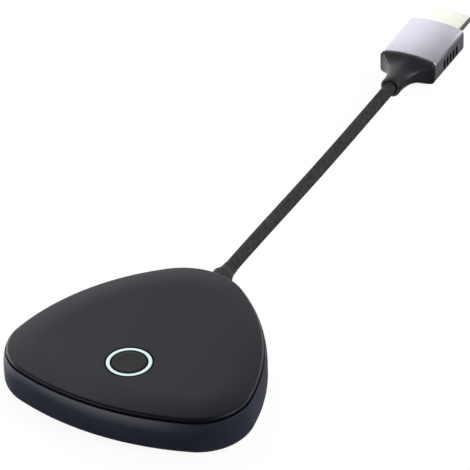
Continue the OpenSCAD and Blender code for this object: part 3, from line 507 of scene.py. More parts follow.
@dataclass(frozen=True)
class Finish:
    """A plain finish with fine grain, soft mottling and a little wear.

    Attributes:
        name: Name of the material.
        colour: Main colour, linear.
        roughness: Main roughness.
        metallic: 1 for bare metal.
        grain: Size of the fine grain in millimetres.
        depth: Depth of the grain in millimetres.
        mottle: Share by which the colour varies.
        patch: Size of the mottling in millimetres.
        stretch: Stretch of the grain along the axes, 1 for even.
        specular: Strength of the plain reflection, 0.5 for most plastics.
        spread: Pair over which the roughness varies.
        grain_share: Share of the grain beside the larger pattern.
        contrast: Part of the mottling over which the colour varies.
    """

    name: str
    colour: Colour
    roughness: float = 0.5
    metallic: float = 0.0
    grain: float = 0.3
    depth: float = 0.01
    mottle: float = 0.12
    patch: float = 6.0
    stretch: tuple[float, float, float] = (1, 1, 1)
    specular: float = 0.5
    spread: float = 0.12
    grain_share: float = 0.3
    contrast: Pair = (0.3, 0.7)

    def material(self) -> bpy.types.Material:
        """Makes the material, or finds it again.

        Returns:
            The material, which is made on first use.
        """
        title = f"{self.name}_finish"
        known = bpy.data.materials.get(title)
        if known:
            return known
        material = bpy.data.materials.new(title)
        graph = Graph(material, "Principled BSDF")
        graph.shader.inputs["Specular IOR Level"].default_value = self.specular
        self.dress(graph)
        return material

    def shades(self, graph: Graph) -> tuple[Signal, Signal, Signal]:
        """Builds the nodes of the plain finish.

        Args:
            graph: Tree to build in.

        Returns:
            Colour, roughness and grain.
        """
        grain = graph.noise(self.grain, detail=2.0, stretch=self.stretch)
        patches = graph.noise(self.patch, detail=4.0)
        dark = tuple(c * (1 - self.mottle) for c in self.colour)
        light = tuple(min(1.0, c * (1 + self.mottle)) for c in self.colour)
        tone = patches * (1 - self.grain_share) + grain * self.grain_share
        colour = graph.blend(tone.between(*self.contrast), dark, light)
        roughness = self.roughness - self.spread / 2 + self.spread * patches
        return colour, roughness, grain

    def dress(self, graph: Graph) -> None:
        """Builds the nodes.

        Args:
            graph: Tree to build in.
        """
        colour, roughness, grain = self.shades(graph)
        graph.feed(Base_Color=colour, Roughness=roughness, Metallic=self.metallic,
                   Normal=graph.bump(grain, self.depth))


@dataclass(frozen=True, kw_only=True)
class Moulding(Finish):
    """Moulded plastic whose upper edge is rubbed a little brighter, with painted shade in the gap
    round the button.

    Attributes:
        edge: Height of the rubbed edge in millimetres.
        reach: Distance over which the rubbing fades below and above it, in millimetres.
        rubbed: Colour where it is rubbed.
        rubbing: Share of that colour in the scuffs.
        polish: What the rubbing takes from the roughness.
        scuff: Size of the scuffs in millimetres.
        scuffed: Part of their pattern over which they set in.
        recess: Radii round the button at which painted shade starts and is black, in millimetres.
        gap_shade_colour: Colour of that painted shade.
        dull: What that painted shade adds to the roughness.
        centre: Centre of the button in plan, in millimetres.
    """

    edge: float
    reach: float
    rubbed: Colour
    rubbing: float = 0.6
    polish: float = 0.08
    scuff: float = 1.4
    scuffed: Pair = (0.42, 0.62)
    recess: Pair = (0.0, 0.0)
    gap_shade_colour: Colour = (0.001, 0.0015, 0.002)
    dull: float = 0.5
    centre: Pair = BUTTON_SPOT

    def dress(self, graph: Graph) -> None:
        """Builds the nodes.

        Args:
            graph: Tree to build in.
        """
        colour, roughness, grain = self.shades(graph)
        band = graph.axis("Z").inside((self.edge - self.reach, self.edge),
                                      (self.edge, self.edge + self.reach))
        scuffs = graph.noise(self.scuff, detail=5.0).between(*self.scuffed)
        wear = band * scuffs * self.rubbing
        colour = graph.blend(wear, colour, self.rubbed)
        # Painted shade: black towards the gap round the button and the light ring.
        if self.recess[1]:
            start, end = self.recess
            away = graph.reach((*self.centre, 0.0))
            dark = away.between(start, end) if start < end else 1 - away.between(end, start)
            colour = graph.blend(dark, colour, self.gap_shade_colour)
            roughness = roughness + self.dull * dark
        graph.feed(Base_Color=colour, Roughness=roughness - self.polish * wear,
                   Metallic=self.metallic, Normal=graph.bump(grain, self.depth))


@dataclass(frozen=True)
class Braid(Finish):
    """Jacket with a fine crossed grain that follows the piece's own UV map.

    Attributes:
        around: Strands around the jacket.
        along: Crossings along the piece.
        valley: Share of the colour that is left between the strands.
        ridge: Part of a strand's height over which the full colour sets in.
    """

    around: int = 30
    along: int = 150
    valley: float = 0.55
    ridge: Pair = (-0.2, 0.9)

    def dress(self, graph: Graph) -> None:
        """Builds the nodes.

        Args:
            graph: Tree to build in.
        """
        colour, roughness, grain = self.shades(graph)
        point = graph.make("ShaderNodeTexCoord", {}, "UV")
        there = graph.make("ShaderNodeSeparateXYZ", {0: point}, "X") * (self.along * math.tau)
        round_it = graph.make("ShaderNodeSeparateXYZ", {0: point}, "Y") * (self.around * math.tau)
        strands = (there + round_it).wave().highest((there - round_it).wave())
        relief = strands * (1 - self.grain_share) + grain * self.grain_share
        dark = tuple(c * self.valley for c in self.colour)
        graph.feed(Base_Color=graph.blend(strands.between(*self.ridge), dark, colour),
                   Roughness=roughness, Metallic=self.metallic,
                   Normal=graph.bump(relief, self.depth))


@dataclass(frozen=True)
class Glow(Finish):
    """Light guide whose face shines; its sides and both edges of the face fall off to a deep tint,
    as painted shade.

    Attributes:
        top: Height of the lit face in millimetres.
        fall: Distance below it over which the light falls off, in millimetres.
        lit: Colour of the lit face.
        deep: Glow further down and along both edges, as painted shade.
        power: Strength of the light.
        centre: Centre of the ring in plan, in millimetres.
        band: Inner and outer radius of the lit band, in millimetres.
        soft: Distance over which the band starts and ends, in millimetres.
        painted_shade_share: Share of the main colour outside the band, as painted shade.
    """

    top: float = 14.6
    fall: float = 0.3
    lit: Colour = (0.8, 1.0, 1.0)
    deep: Colour = (0.0, 0.008, 0.01)
    power: float = 0.55
    centre: Pair = BUTTON_SPOT
    band: Pair = (5.84, 6.96)
    soft: float = 0.08
    painted_shade_share: float = 0.1

    def dress(self, graph: Graph) -> None:
        """Builds the nodes.

        Args:
            graph: Tree to build in.
        """
        colour, roughness, grain = self.shades(graph)
        face = graph.axis("Z").between(self.top - self.fall, self.top - self.fall / 4)
        inner, outer = self.band
        band = graph.reach((*self.centre, 0.0)).inside((inner, inner + self.soft),
                                                       (outer - self.soft, outer))
        # Painted shade: outside the lit band, down the sides and along both edges, colour and glow
        # are darker.
        lit = face * band
        dark = tuple(c * self.painted_shade_share for c in self.colour)
        graph.feed(Base_Color=graph.blend(lit, dark, colour), Roughness=roughness,
                   Emission_Color=graph.blend(lit, self.deep, self.lit),
                   Emission_Strength=self.power, Normal=graph.bump(grain, self.depth))


@dataclass(frozen=True)
class ShadedWithin(Finish):
    """Bare metal outside and painted black within as painted shade, seen through the slots of its
    side walls.

    Attributes:
        half: Half of the outer width, in millimetres.
        skin: Depth at which the black starts, in millimetres.
        low: Height at which the side walls start, in millimetres.
        high: Height at which they end, in millimetres.
        soft: Distance over which each of these sets in, in millimetres.
        painted_shade_inside: Colour within, as painted shade.
        dull: What that painted shade adds to the roughness.
    """

    half: float = 10.0
    skin: float = 0.12
    low: float = 2.0
    high: float = 7.6
    soft: float = 0.1
    painted_shade_inside: Colour = (0.004, 0.004, 0.005)
    dull: float = 0.3

    def dress(self, graph: Graph) -> None:
        """Builds the nodes.

        Args:
            graph: Tree to build in.
        """
        colour, roughness, grain = self.shades(graph)
        depth = self.half - graph.maths("ABSOLUTE", graph.axis("X"))
        sides = graph.axis("Z").inside((self.low, self.low + self.soft),
                                       (self.high - self.soft, self.high))
        # Painted shade: the inner side walls are black and not metal.
        within = depth.between(self.skin, self.skin + self.soft) * sides
        graph.feed(Base_Color=graph.blend(within, colour, self.painted_shade_inside),
                   Roughness=roughness + self.dull * within, Metallic=self.metallic - within,
                   Normal=graph.bump(grain, self.depth))


@dataclass(frozen=True)
class Laminate(Finish):
    """Circuit board with copper runs under its varnish.

    Attributes:
        copper: Colour of the varnish over copper.
        density: Cells per millimetre.
        runs: Copper runs per cell, as a frequency.
        flank: Part of a run's height over which it sets in.
    """

    copper: Colour = (0.03, 0.16, 0.07)
    density: float = 0.45
    runs: float = 22.0
    flank: Pair = (0.2, 0.6)

    def dress(self, graph: Graph) -> None:
        """Builds the nodes.

        Args:
            graph: Tree to build in.
        """
        colour, roughness, grain = self.shades(graph)
        cells = graph.make("ShaderNodeTexVoronoi",
                           {"Vector": graph.place((1, 1, 0)), "Scale": self.density},
                           distance="MANHATTAN", feature="F1")
        runs = (cells * self.runs).wave().between(*self.flank)
        graph.feed(Base_Color=graph.blend(runs, colour, self.copper), Roughness=roughness,
                   Normal=graph.bump(runs + grain, self.depth))


SHELL_PLASTIC = Moulding("shell_plastic", (0.0155, 0.0225, 0.047), 0.36, grain=0.22, depth=0.005,
                         specular=0.7, edge=12.1, reach=0.35, rubbed=(0.016, 0.02, 0.034))
# Painted shade: black round the ring hole of the cover.
COVER_PLASTIC = Moulding("cover_plastic", (0.005, 0.0068, 0.0155), 0.42, grain=0.2, depth=0.004,
                         specular=0.3, edge=13.3, reach=0.3, rubbed=(0.007, 0.009, 0.017),
                         recess=(7.8, 7.4))
# Painted shade: black along the button's edge, next to the ring.
BUTTON_PLASTIC = Moulding("button_plastic", (0.008, 0.0105, 0.0115), 0.45, grain=0.2, depth=0.005,
                          specular=0.26, edge=14.6, reach=0.05, rubbed=(0.012, 0.014, 0.016),
                          recess=(5.0, 5.35))
# Painted shadow: a black band in the seam between shell and cover.
PAINTED_SHADOW_BAND = Finish("painted_shadow_band", (0.003, 0.0035, 0.006), 0.8, grain=0.3, specular=0.08)
FOOT_RUBBER = Finish("foot_rubber", (0.012, 0.012, 0.013), 0.85, grain=0.5, depth=0.03)
SCREW_STEEL = Finish("screw_steel", (0.09, 0.09, 0.10), 0.38, 1.0, grain=0.15, depth=0.006)
LIGHT_GUIDE = Glow("light_guide", (0.42, 0.5, 0.5), 0.4)
BLACK_PLASTIC = Finish("black_plastic", (0.012, 0.012, 0.014), 0.5, grain=0.25)
PALE_PLASTIC = Finish("pale_plastic", (0.55, 0.5, 0.4), 0.5, grain=0.3)
LAMP_RESIN = Finish("lamp_resin", (0.75, 0.76, 0.6), 0.3, grain=0.4)
BOARD_LAMINATE = Laminate("board_laminate", (0.012, 0.09, 0.04), 0.4, grain=0.4)
CHIP_RESIN = Finish("chip_resin", (0.02, 0.021, 0.024), 0.62, grain=0.12, depth=0.008)
PAD_SILICONE = Finish("pad_silicone", (0.2, 0.26, 0.38), 0.8, grain=0.4)
SINK_ALUMINIUM = Finish("sink_aluminium", (0.55, 0.56, 0.58), 0.4, 1.0, stretch=(1, 0.05, 1))
STAMPED_STEEL = Finish("stamped_steel", (0.5, 0.5, 0.52), 0.32, 1.0, grain=0.3, depth=0.004,
                       stretch=(1, 0.1, 1))
PART_CERAMIC = Finish("part_ceramic", (0.3, 0.22, 0.14), 0.6, grain=0.15)
CONTACT_GOLD = Finish("contact_gold", (0.83, 0.6, 0.22), 0.28, 1.0, grain=0.1, depth=0.003)
WIRE_INSULATION = Finish("wire_insulation", (0.5, 0.06, 0.04), 0.5, grain=0.3)
CABLE_JACKET = Braid("cable_jacket", (0.082, 0.081, 0.088), 0.85, grain=0.35, depth=0.08,
                     mottle=0.5, patch=1.1, specular=0.04)
RELIEF_RUBBER = Finish("relief_rubber", (0.031, 0.031, 0.033), 0.62, grain=0.35, depth=0.08,
                       mottle=0.5, patch=0.8, specular=0.18)
BOOT_PLASTIC = Finish("boot_plastic", (0.026, 0.027, 0.032), 0.38, grain=0.2, depth=0.006,
                      specular=0.42)
# Painted shade: the sleeve is black inside its side walls.
SLEEVE_METAL = ShadedWithin("sleeve_metal", (0.74, 0.73, 0.83), 0.34, 1.0, grain=0.12, depth=0.006,
                     mottle=0.05)
CONNECTOR_METAL = Finish("connector_metal", (0.97, 0.96, 0.86), 0.22, 1.0, grain=0.3, depth=0.002,
                         mottle=0.05, stretch=(1, 0.08, 1))

NODE_FINISHES: dict[Finish, tuple[str, ...]] = {
    SCREW_STEEL: ("case_screws", "board_screws", "clamp_screws"),
    BLACK_PLASTIC: ("switch_case", "socket_tongue", "cable_clamp", "plug_bezel",
                    "connector_insulator"),
    PALE_PLASTIC: ("switch_plunger", "wire_header", "wire_housing"),
    LAMP_RESIN: ("ring_lamps",),
    BOARD_LAMINATE: ("main_board", "radio_board", "plug_board"),
    CHIP_RESIN: ("processor", "video_chip", "memory_chips", "power_coils", "plug_chip"),
    PAD_SILICONE: ("thermal_pad",),
    SINK_ALUMINIUM: ("heat_sink", "filter_capacitors"),
    STAMPED_STEEL: ("clock_crystal", "radio_shield", "socket_shell", "crimp_ferrule"),
    PART_CERAMIC: ("small_parts",),
    CONTACT_GOLD: ("antenna_left", "antenna_right", "connector_contacts"),
    WIRE_INSULATION: ("body_wires", "plug_wires"),
    CABLE_JACKET: ("cable_tail", "plug_cable_end"),
}


@dataclass
class Studio:
    """Camera at the photograph's angle, pale floor and soft light.

    Attributes:
        azimuth: Bearing that the camera looks along, in degrees.
        elevation: Height of the camera above the horizon, in degrees.
        roll: Tilt of the picture, in degrees.
        focal: Focal length in pixels.
        distance: Depth of the aim point, in metres.
        frame_size: Width and height of the picture in pixels.
        aim: Pixel at which the aim point shows.
        aim_height: Height of the aim point under the middle of the body.
        near_clip: Distance at which the camera starts to see.
        window: Left side of the surroundings: where it ends, as a range of directions, and its
            strength.
        window_ahead: Directions over which it sets in, from behind the camera.
        ceiling: Heights between which it fades overhead.
        ceiling_ahead: Directions over which it no longer fades, ahead of the camera.
        bounce: Right side of the surroundings, as the window is given.
        bounce_ahead: Directions over which that ends, ahead of the camera.
        horizon: Strength that is added ahead of the camera.
        horizon_ahead: Directions over which it sets in.
        horizon_right: Directions over which it ends to the right.
        skyline: Strength that is added straight along the body, low above the floor.
        skyline_ahead: Directions over which it sets in.
        skyline_sides: Directions over which it sets in from the left and ends to the right.
        skyline_top: Heights over which it ends.
        dim: Strength elsewhere.
        floor_size: Width of the floor.
        floor_drop: Depth of the floor below the feet.
        floor_tone: Colour of the floor.
        floor_glow: What the floor shows to the eye beyond its light.
        behind: Painted shade in the floor as glossy surfaces see it, behind the body: where it sets
            in from the left, where it sets in and where it ends along the body, in millimetres, and
            by which share.
        beside: The same to the right: where it sets in, where it ends along the body, share.
        under: The same under the plug: where it sets in and ends to the right, where it sets
            in along the body, share.
        panel_aim: The point that the light panels face.
        panels: The panels, each with its place, its width and height, and its power in watts.
    """

    azimuth: float = 28.282
    elevation: float = 35.3049
    roll: float = -1.6912
    focal: float = 3988.5442
    distance: float = 1.2136
    frame_size: float = 470.0
    aim: Pair = (156.5, 369.35)
    aim_height: float = 0.6 * MM
    near_clip: float = 0.05
    window: tuple[float, float, float] = (-0.5, -0.03, 1.21)
    window_ahead: Pair = (-0.35, 0.1)
    ceiling: Pair = (0.3, 0.62)
    ceiling_ahead: Pair = (0.36, 0.75)
    bounce: tuple[float, float, float] = (0.45, 0.8, 0.12)
    bounce_ahead: Pair = (0.4, 0.65)
    horizon: float = 0.36
    horizon_ahead: Pair = (0.3, 0.8)
    horizon_right: Pair = (0.35, 0.7)
    skyline: float = 2.4
    skyline_ahead: Pair = (0.75, 0.9)
    skyline_sides: tuple[Pair, Pair] = ((-0.25, -0.05), (0.25, 0.45))
    skyline_top: Pair = (0.25, 0.45)
    dim: float = 0.1
    floor_size: float = 8.0
    floor_drop: float = 0.02 * MM
    floor_tone: float = 0.14
    floor_glow: float = 0.93
    behind: tuple[Pair, Pair, Pair, float] = ((-62, -44), (-72, -48), (-45, 30), 0.95)
    beside: tuple[Pair, Pair, float] = ((18, 32), (50, 90), 0.88)
    under: tuple[Pair, Pair, Pair, float] = ((2, 8), (110, 190), (130, 150), 0.97)
    panel_aim: tuple[float, float, float] = (0, 0.06, 0)
    panels: dict[str, tuple[tuple[float, float, float], Pair, float]] = field(
        default_factory=lambda: {"right_light": ((1.0, 0.12, 0.6), (0.45, 0.4), 4.6),
                                 "rear_light": ((-0.25, -0.4, 0.024), (0.5, 0.04), 0.5),
                                 "flank_light": ((0.2, 0.17, 0.1), (0.16, 0.09), 0.12),
                                 "left_light": ((-0.5, 0.1, 0.12), (0.5, 0.2), 1.5),
                                 "plug_light": ((-0.12, 0.06, 0.2), (0.1, 0.1), 0.06)})

    def set_camera(self) -> None:
        """Adds the camera."""
        a, e, r = (math.radians(v) for v in (self.azimuth, self.elevation, self.roll))
        ahead = Vector((-math.sin(a) * math.cos(e), math.cos(a) * math.cos(e), -math.sin(e)))
        right = Vector((math.cos(a), math.sin(a), 0))
        above = right.cross(ahead)
        right, above = (right * math.cos(r) + above * math.sin(r),
                        above * math.cos(r) - right * math.sin(r))
        half = self.frame_size / 2
        x, y = ((p - half) / self.focal * self.distance for p in self.aim)
        spot = Vector((0, 0, self.aim_height)) - ahead * self.distance - right * x + above * y
        data = bpy.data.cameras.new("camera")
        data.sensor_fit = "HORIZONTAL"
        data.angle = 2 * math.atan(half / self.focal)
        data.clip_start = self.near_clip
        camera = bpy.data.objects.new("camera", data)
        turn = Matrix((right, above, -ahead)).transposed()
        camera.matrix_world = Matrix.Translation(spot) @ turn.to_4x4()
        bpy.context.scene.collection.objects.link(camera)
        bpy.context.scene.camera = camera

    def add_panel(self, name: str, spot: Vector, size: Pair, power: float) -> None:
        """Adds one soft light panel.

        Args:
            name: Name of the light.
            spot: Its place.
            size: Its width and height.
            power: Its power in watts.
        """
        data = bpy.data.lights.new(name, "AREA")
        data.shape = "RECTANGLE"
        data.size, data.size_y = size
        data.energy = power
        lamp = bpy.data.objects.new(name, data)
        lamp.visible_camera = False
        turn = (spot - Vector(self.panel_aim)).to_track_quat("Z", "Y")
        lamp.matrix_world = Matrix.Translation(spot) @ turn.to_matrix().to_4x4()
        bpy.context.scene.collection.objects.link(lamp)

    def add_world(self) -> None:
        """Makes the surroundings white to the eye, and as a light brighter on two sides."""
        world = bpy.data.worlds.new("surroundings")
        bpy.context.scene.world = world
        graph = Graph(world, "Background")
        direction = graph.make("ShaderNodeTexCoord", {}, "Generated")
        across, ahead, height = (graph.make("ShaderNodeSeparateXYZ", {0: direction}, name)
                                 for name in "XYZ")
        overhead = height.between(*self.ceiling) * (1 - ahead.between(*self.ceiling_ahead))
        start, end, bright = self.window
        window = ((1 - across.between(start, end)) * (1 - overhead)
                  * ahead.between(*self.window_ahead))
        start, end, soft = self.bounce
        bounce = across.between(start, end) * (1 - ahead.between(*self.bounce_ahead))
        skyline = (ahead.between(*self.skyline_ahead) * across.inside(*self.skyline_sides)
                   * (1 - height.between(*self.skyline_top)))
        horizon = (ahead.between(*self.horizon_ahead) * (1 - window)
                   * (1 - across.between(*self.horizon_right)))
        light = (self.dim + (bright - self.dim) * window + soft * bounce
                 + self.skyline * skyline + self.horizon * horizon)
        seen = graph.make("ShaderNodeLightPath", {}, "Is Camera Ray")
        graph.feed(Color=(1.0, 1.0, 1.0), Strength=light + seen * (1 - light))

    def add_floor(self) -> None:
        """Adds a wide pale floor that keeps the object's shadow; glossy surfaces see it with
        painted shade behind, beside and under the object.
        """
        bpy.ops.object.select_all(action="DESELECT")
        bpy.ops.mesh.primitive_plane_add(size=self.floor_size, location=-UP * self.floor_drop)
        floor = bpy.context.object
        floor.name = "floor"
        graph = Graph(bpy.data.materials.new("floor"), "Principled BSDF")
        seen = graph.make("ShaderNodeLightPath", {}, "Is Camera Ray")
        mirrored = graph.make("ShaderNodeLightPath", {}, "Is Glossy Ray")
        across, along = graph.axis("X"), graph.axis("Y")
        # Painted shade: zones where the floor looks darker in reflections.
        left, near, far, share = self.behind
        behind = across.between(*left) * along.inside(near, far) * share
        left, far, share = self.beside
        beside = across.between(*left) * (1 - along.between(*far)) * share
        left, right, near, share = self.under
        under = across.inside(left, right) * along.between(*near) * share
        sheen_with_painted_shade = (1 - behind).lowest(1 - beside) * (1 - under)
        graph.feed(Base_Color=(self.floor_tone,) * 3, Roughness=1.0, Specular_IOR_Level=0.0,
                   Emission_Color=(1.0, 1.0, 1.0),
                   Emission_Strength=seen * self.floor_glow + mirrored * sheen_with_painted_shade)
        floor.data.materials.append(graph.owner)

    def build(self) -> None:
        """Builds the whole set."""
        bpy.context.scene.view_settings.view_transform = "Standard"
        self.add_world()
        self.add_floor()
        for name, (spot, size, power) in self.panels.items():
            self.add_panel(name, Vector(spot), size, power)
        log.info("studio: floor, surroundings and %d panels", len(self.panels))


@dataclass
class Enclosure:
    """Lower shell, top cover, a black band in the seam as painted shadow, and feet of the body.

    Attributes:
        width: Width across the rear corners.
        length: Length from the back edge to the nose.
        nose_radius: Radius of the nose.
        corner_radius: Radius of the rear corners.
        side_radius: Radius of the flanks.
        back_radius: Radius of the back edge.
        flank_steps: Edges in the arc of the nose on each side, and of a flank.
        corner_steps: Edges in the arc of a rear corner.
        back_steps: Edges in the arc of the back edge.
        wall: Thickness of the walls.
        base_z: Height of the underside.
        floor_z: Height of the inner floor.
        rim_z: Height of the shell's rim.
        land_z: Height of the ledge within the rim.
        base_round: Radius of the shell's lower edge.
        base_steps: Steps of that round.
        rim_lean: Angle by which the rim leans in, in degrees.
        rim_rise: Height over which it comes to lean.
        rim_steps: Steps of that bend.
        rim_crest: Radius of its upper edge.
        crest_steps: Steps of that edge.
        seam_inset: Inset of the seam's outer side from the outline.
        cover_inset: Inset of the cover and of the shadow band's upper part.
        cover_gap: Height of the cover's underside above the ledge.
        cover_edge_z: Height at which the cover's round edge starts.
        cover_edge: Radius of that edge.
        edge_steps: Steps of that edge.
        crown_slope: Slope at which the crown starts, in degrees.
        crown_steps: Steps of the crown.
        eaves_z: Height of the cover's inner side at its skirt.
        eaves_run: Width over which the inner side rises from there.
        ceiling_z: Height of the inner side beyond that.
        shadow_band_low: Height at which the black band in the seam, a painted shadow, starts.
        shadow_band_inner: Inset of the shadow band's inner side.
        shadow_band_steps: Steps of the cover's round edge that belong to the shadow band.
        shadow_band_core: Depth below the ledge and height of the cutter that leaves the shadow
            band.
        skirt_inset: Inset of the cover's skirt.
        skirt_thickness: Thickness of the skirt.
        skirt_height: Height of the skirt.
        top_z: Height of the crown.
        button_y: Place of the button's centre.
        ring_hole_radius: Radius of the hole round the light ring.
        ring_hole_z: Height at which its cutter starts.
        ring_lip: Width of the chamfer on its edge.
        ring_steps: Steps in its turn.
        nose_foot: Distance of the front foot from the nose's centre.
        rear_foot: Distance and bearing of a rear foot from a corner's centre.
        foot_radius: Radius of a foot.
        foot_thickness: Thickness of a foot.
        foot_edge: Width of a foot's rounded edge.
        foot_bend: Distance of that edge's middle from both faces.
        foot_groove: Distances of the groove's bends from a foot's edge.
        foot_groove_depth: Depth of the groove.
        pocket_radius: Radius of a foot's pocket.
        pocket_lip: Width of the chamfer on its edge.
        nose_screw: Distance and bearing of a front screw from the nose's centre.
        rear_screw: Distance and bearing of a rear screw from a corner's centre.
        counterbore_radius: Radius of the recess of a screw's head.
        counterbore_z: Height at which it ends.
        counterbore_lip: Width of the chamfer on its edge.
        shank_hole_radius: Radius of the hole of a screw's shank.
        disc_steps: Steps in the turns of the pockets, recesses and holes.
        round_steps: Steps in the turns of the feet and of the cable's exit.
        exit_z: Height of the cable's axis at the nose.
        exit_profile: Seat and hole of the strain relief, as radius and place in millimetres.
        socket_bearing: Bearing of the power socket from the flank's centre, in degrees.
        socket_z: Height of its axis.
        socket_hole_width: Width of its opening.
        socket_hole_height: Height of its opening.
        socket_steps: Edges in each of the opening's round ends.
    """

    width: float = 82 * MM
    length: float = 76 * MM
    nose_radius: float = 22 * MM
    corner_radius: float = 17.5 * MM
    side_radius: float = 73 * MM
    back_radius: float = 90 * MM
    flank_steps: int = 26
    corner_steps: int = 40
    back_steps: int = 36
    wall: float = 2.2 * MM
    base_z: float = 0.6 * MM
    floor_z: float = 2.4 * MM
    rim_z: float = 12.1 * MM
    land_z: float = 11.5 * MM
    base_round: float = 3.0 * MM
    base_steps: int = 10
    rim_lean: float = 15.0
    rim_rise: float = 4.2 * MM
    rim_steps: int = 10
    rim_crest: float = 0.1 * MM
    crest_steps: int = 3
    seam_inset: float = 0.65 * MM
    cover_inset: float = 0.92 * MM
    cover_gap: float = 0.02 * MM
    cover_edge_z: float = 12.65 * MM
    cover_edge: float = 1.0 * MM
    edge_steps: int = 14
    crown_slope: float = 11.0
    crown_steps: int = 16
    eaves_z: float = 11.8 * MM
    eaves_run: float = 6 * MM
    ceiling_z: float = 13.0 * MM
    shadow_band_low: float = 11.6 * MM
    shadow_band_inner: float = 1.5 * MM
    shadow_band_steps: int = 3
    shadow_band_core: Pair = (2 * MM, 5 * MM)
    skirt_inset: float = 2.35 * MM
    skirt_thickness: float = 1.2 * MM
    skirt_height: float = 1.2 * MM
    top_z: float = 14.6 * MM
    button_y: float = BUTTON_SPOT[1] * MM
    ring_hole_radius: float = 7.32 * MM
    ring_hole_z: float = 9 * MM
    ring_lip: float = 0.12 * MM
    ring_steps: int = 128
    nose_foot: float = 10 * MM
    rear_foot: Pair = (8.8 * MM, 192.0)
    foot_radius: float = 5.0 * MM
    foot_thickness: float = 1.4 * MM
    foot_edge: float = 0.3 * MM
    foot_bend: float = 0.1 * MM
    foot_groove: tuple[float, ...] = (1.2 * MM, 1.35 * MM, 1.65 * MM, 1.8 * MM)
    foot_groove_depth: float = 0.15 * MM
    pocket_radius: float = 5.1 * MM
    pocket_lip: float = 0.15 * MM
    nose_screw: Pair = (15.5 * MM, 75.0)
    rear_screw: Pair = (9 * MM, 72.0)
    counterbore_radius: float = 2.0 * MM
    counterbore_z: float = 2.0 * MM
    counterbore_lip: float = 0.2 * MM
    shank_hole_radius: float = 1.15 * MM
    disc_steps: int = 48
    round_steps: int = 64
    exit_z: float = 6.6 * MM
    exit_profile: tuple[Pair, ...] = ((0.0, 31.0), (2.8, 31.0), (2.8, 37.2), (3.5, 37.2),
                                       (3.5, 37.85), (3.75, 39.0), (0.0, 39.0))
    socket_bearing: float = 68.0
    socket_z: float = 7.38 * MM
    socket_hole_width: float = 9.34 * MM
    socket_hole_height: float = 3.56 * MM
    socket_steps: int = 16
    nose_centre: Vector = field(init=False)
    corner_centre: Vector = field(init=False)
    side_centre: Vector = field(init=False)
    back_centre: Vector = field(init=False)

    def __post_init__(self) -> None:
        """Works out the centres of the arcs, which share tangents."""
        self.nose_centre = Vector((0, self.length / 2 - self.nose_radius, 0))
        self.back_centre = Vector((0, self.back_radius - self.length / 2, 0))
        corner_x = self.width / 2 - self.corner_radius
        drop = math.sqrt((self.back_radius - self.corner_radius) ** 2 - corner_x ** 2)
        self.corner_centre = Vector((corner_x, self.back_centre.y - drop, 0))
        flank = self.corner_centre - self.nose_centre
        to_nose = self.side_radius - self.nose_radius
        to_corner = self.side_radius - self.corner_radius
        along = (to_nose ** 2 - to_corner ** 2 + flank.length ** 2) / (2 * flank.length)
        across = math.sqrt(to_nose ** 2 - along ** 2)
        unit = flank.normalized()
        self.side_centre = self.nose_centre + along * unit + across * Vector((unit.y, -unit.x, 0))

    def outline(self, name: str, inset: float, z: float) -> Shape:
        """Draws the body's outline.

        Args:
            name: Name of the shape.
            inset: Distance inside the outer edge.
            z: Height of the outline.

        Returns:
            The shape, with its one face selected.
        """
        lift = UP * z
        flank_from = bearing(self.nose_centre - self.side_centre)
        flank_to = bearing(self.corner_centre - self.side_centre)
        corner_to = bearing(self.corner_centre - self.back_centre)
        mirror = Vector((-1, 1, 1))
        left_side, left_corner = self.side_centre * mirror, self.corner_centre * mirror
        shape = Shape(name, Vector((0, self.length / 2 - inset, z)))
        nose = (self.nose_centre, flank_from, self.flank_steps)
        flank = flank_to - flank_from, self.flank_steps
        corner = corner_to - flank_to, self.corner_steps
        back = (self.back_centre, 2 * (180 - corner_to), self.back_steps)
        for centre, turn, steps in (nose, (self.side_centre, *flank), (self.corner_centre, *corner),
                                    back, (left_corner, *corner), (left_side, *flank), nose):
            shape.arc(centre + lift, turn, steps)
        return shape.close()

    def crown(self) -> list[Pair]:
        """Steps of the cover: a small round edge and a long low crown, as inset and rise.

        Returns:
            Inset and rise of each step from the last.
        """
        slope = math.radians(self.crown_slope)
        turn = math.pi / 2 - slope
        edge = [turn * i / self.edge_steps for i in range(self.edge_steps + 1)]
        rest = self.top_z - self.cover_edge_z - self.cover_edge * math.sin(turn)
        radius = rest / (1 - math.cos(slope))
        low = [slope * (1 - i / self.crown_steps) for i in range(self.crown_steps + 1)]
        return arched(self.cover_edge, edge) + [
            (radius * (math.sin(a) - math.sin(b)), radius * (math.cos(b) - math.cos(a)))
            for a, b in zip(low, low[1:])]

    def disc(self, name: str, spot: Vector, radius: float, top: float, lip: float = 0.0) -> Shape:
        """Turns a round cutter that starts below the body.

        Args:
            name: Name of the shape.
            spot: Its centre in plan.
            radius: Its radius.
            top: Height of its upper end.
            lip: Width of the chamfer that it leaves on the underside.

        Returns:
            The cutter.
        """
        wide = radius + lip
        return Shape.turned(name, spot, UP, [
            (0, -MM), (wide, -MM), (wide, self.base_z), (radius, self.base_z + lip), (radius, top),
            (0, top)], self.disc_steps)

    @property
    def foot_spots(self) -> list[Vector]:
        """Places of the three feet in plan.

        Returns:
            The centres.
        """
        rear = self.corner_centre + self.rear_foot[0] * toward(self.rear_foot[1])
        return [self.nose_centre + self.nose_foot * FORWARD, rear, rear * Vector((-1, 1, 1))]

    @property
    def screw_spots(self) -> list[Vector]:
        """Places of the four case screws in plan.

        Returns:
            The centres.
        """
        rear = self.corner_centre + self.rear_screw[0] * toward(self.rear_screw[1])
        front = self.nose_centre + self.nose_screw[0] * toward(self.nose_screw[1])
        return [s * Vector((side, 1, 1)) for s in (rear, front) for side in (1, -1)]

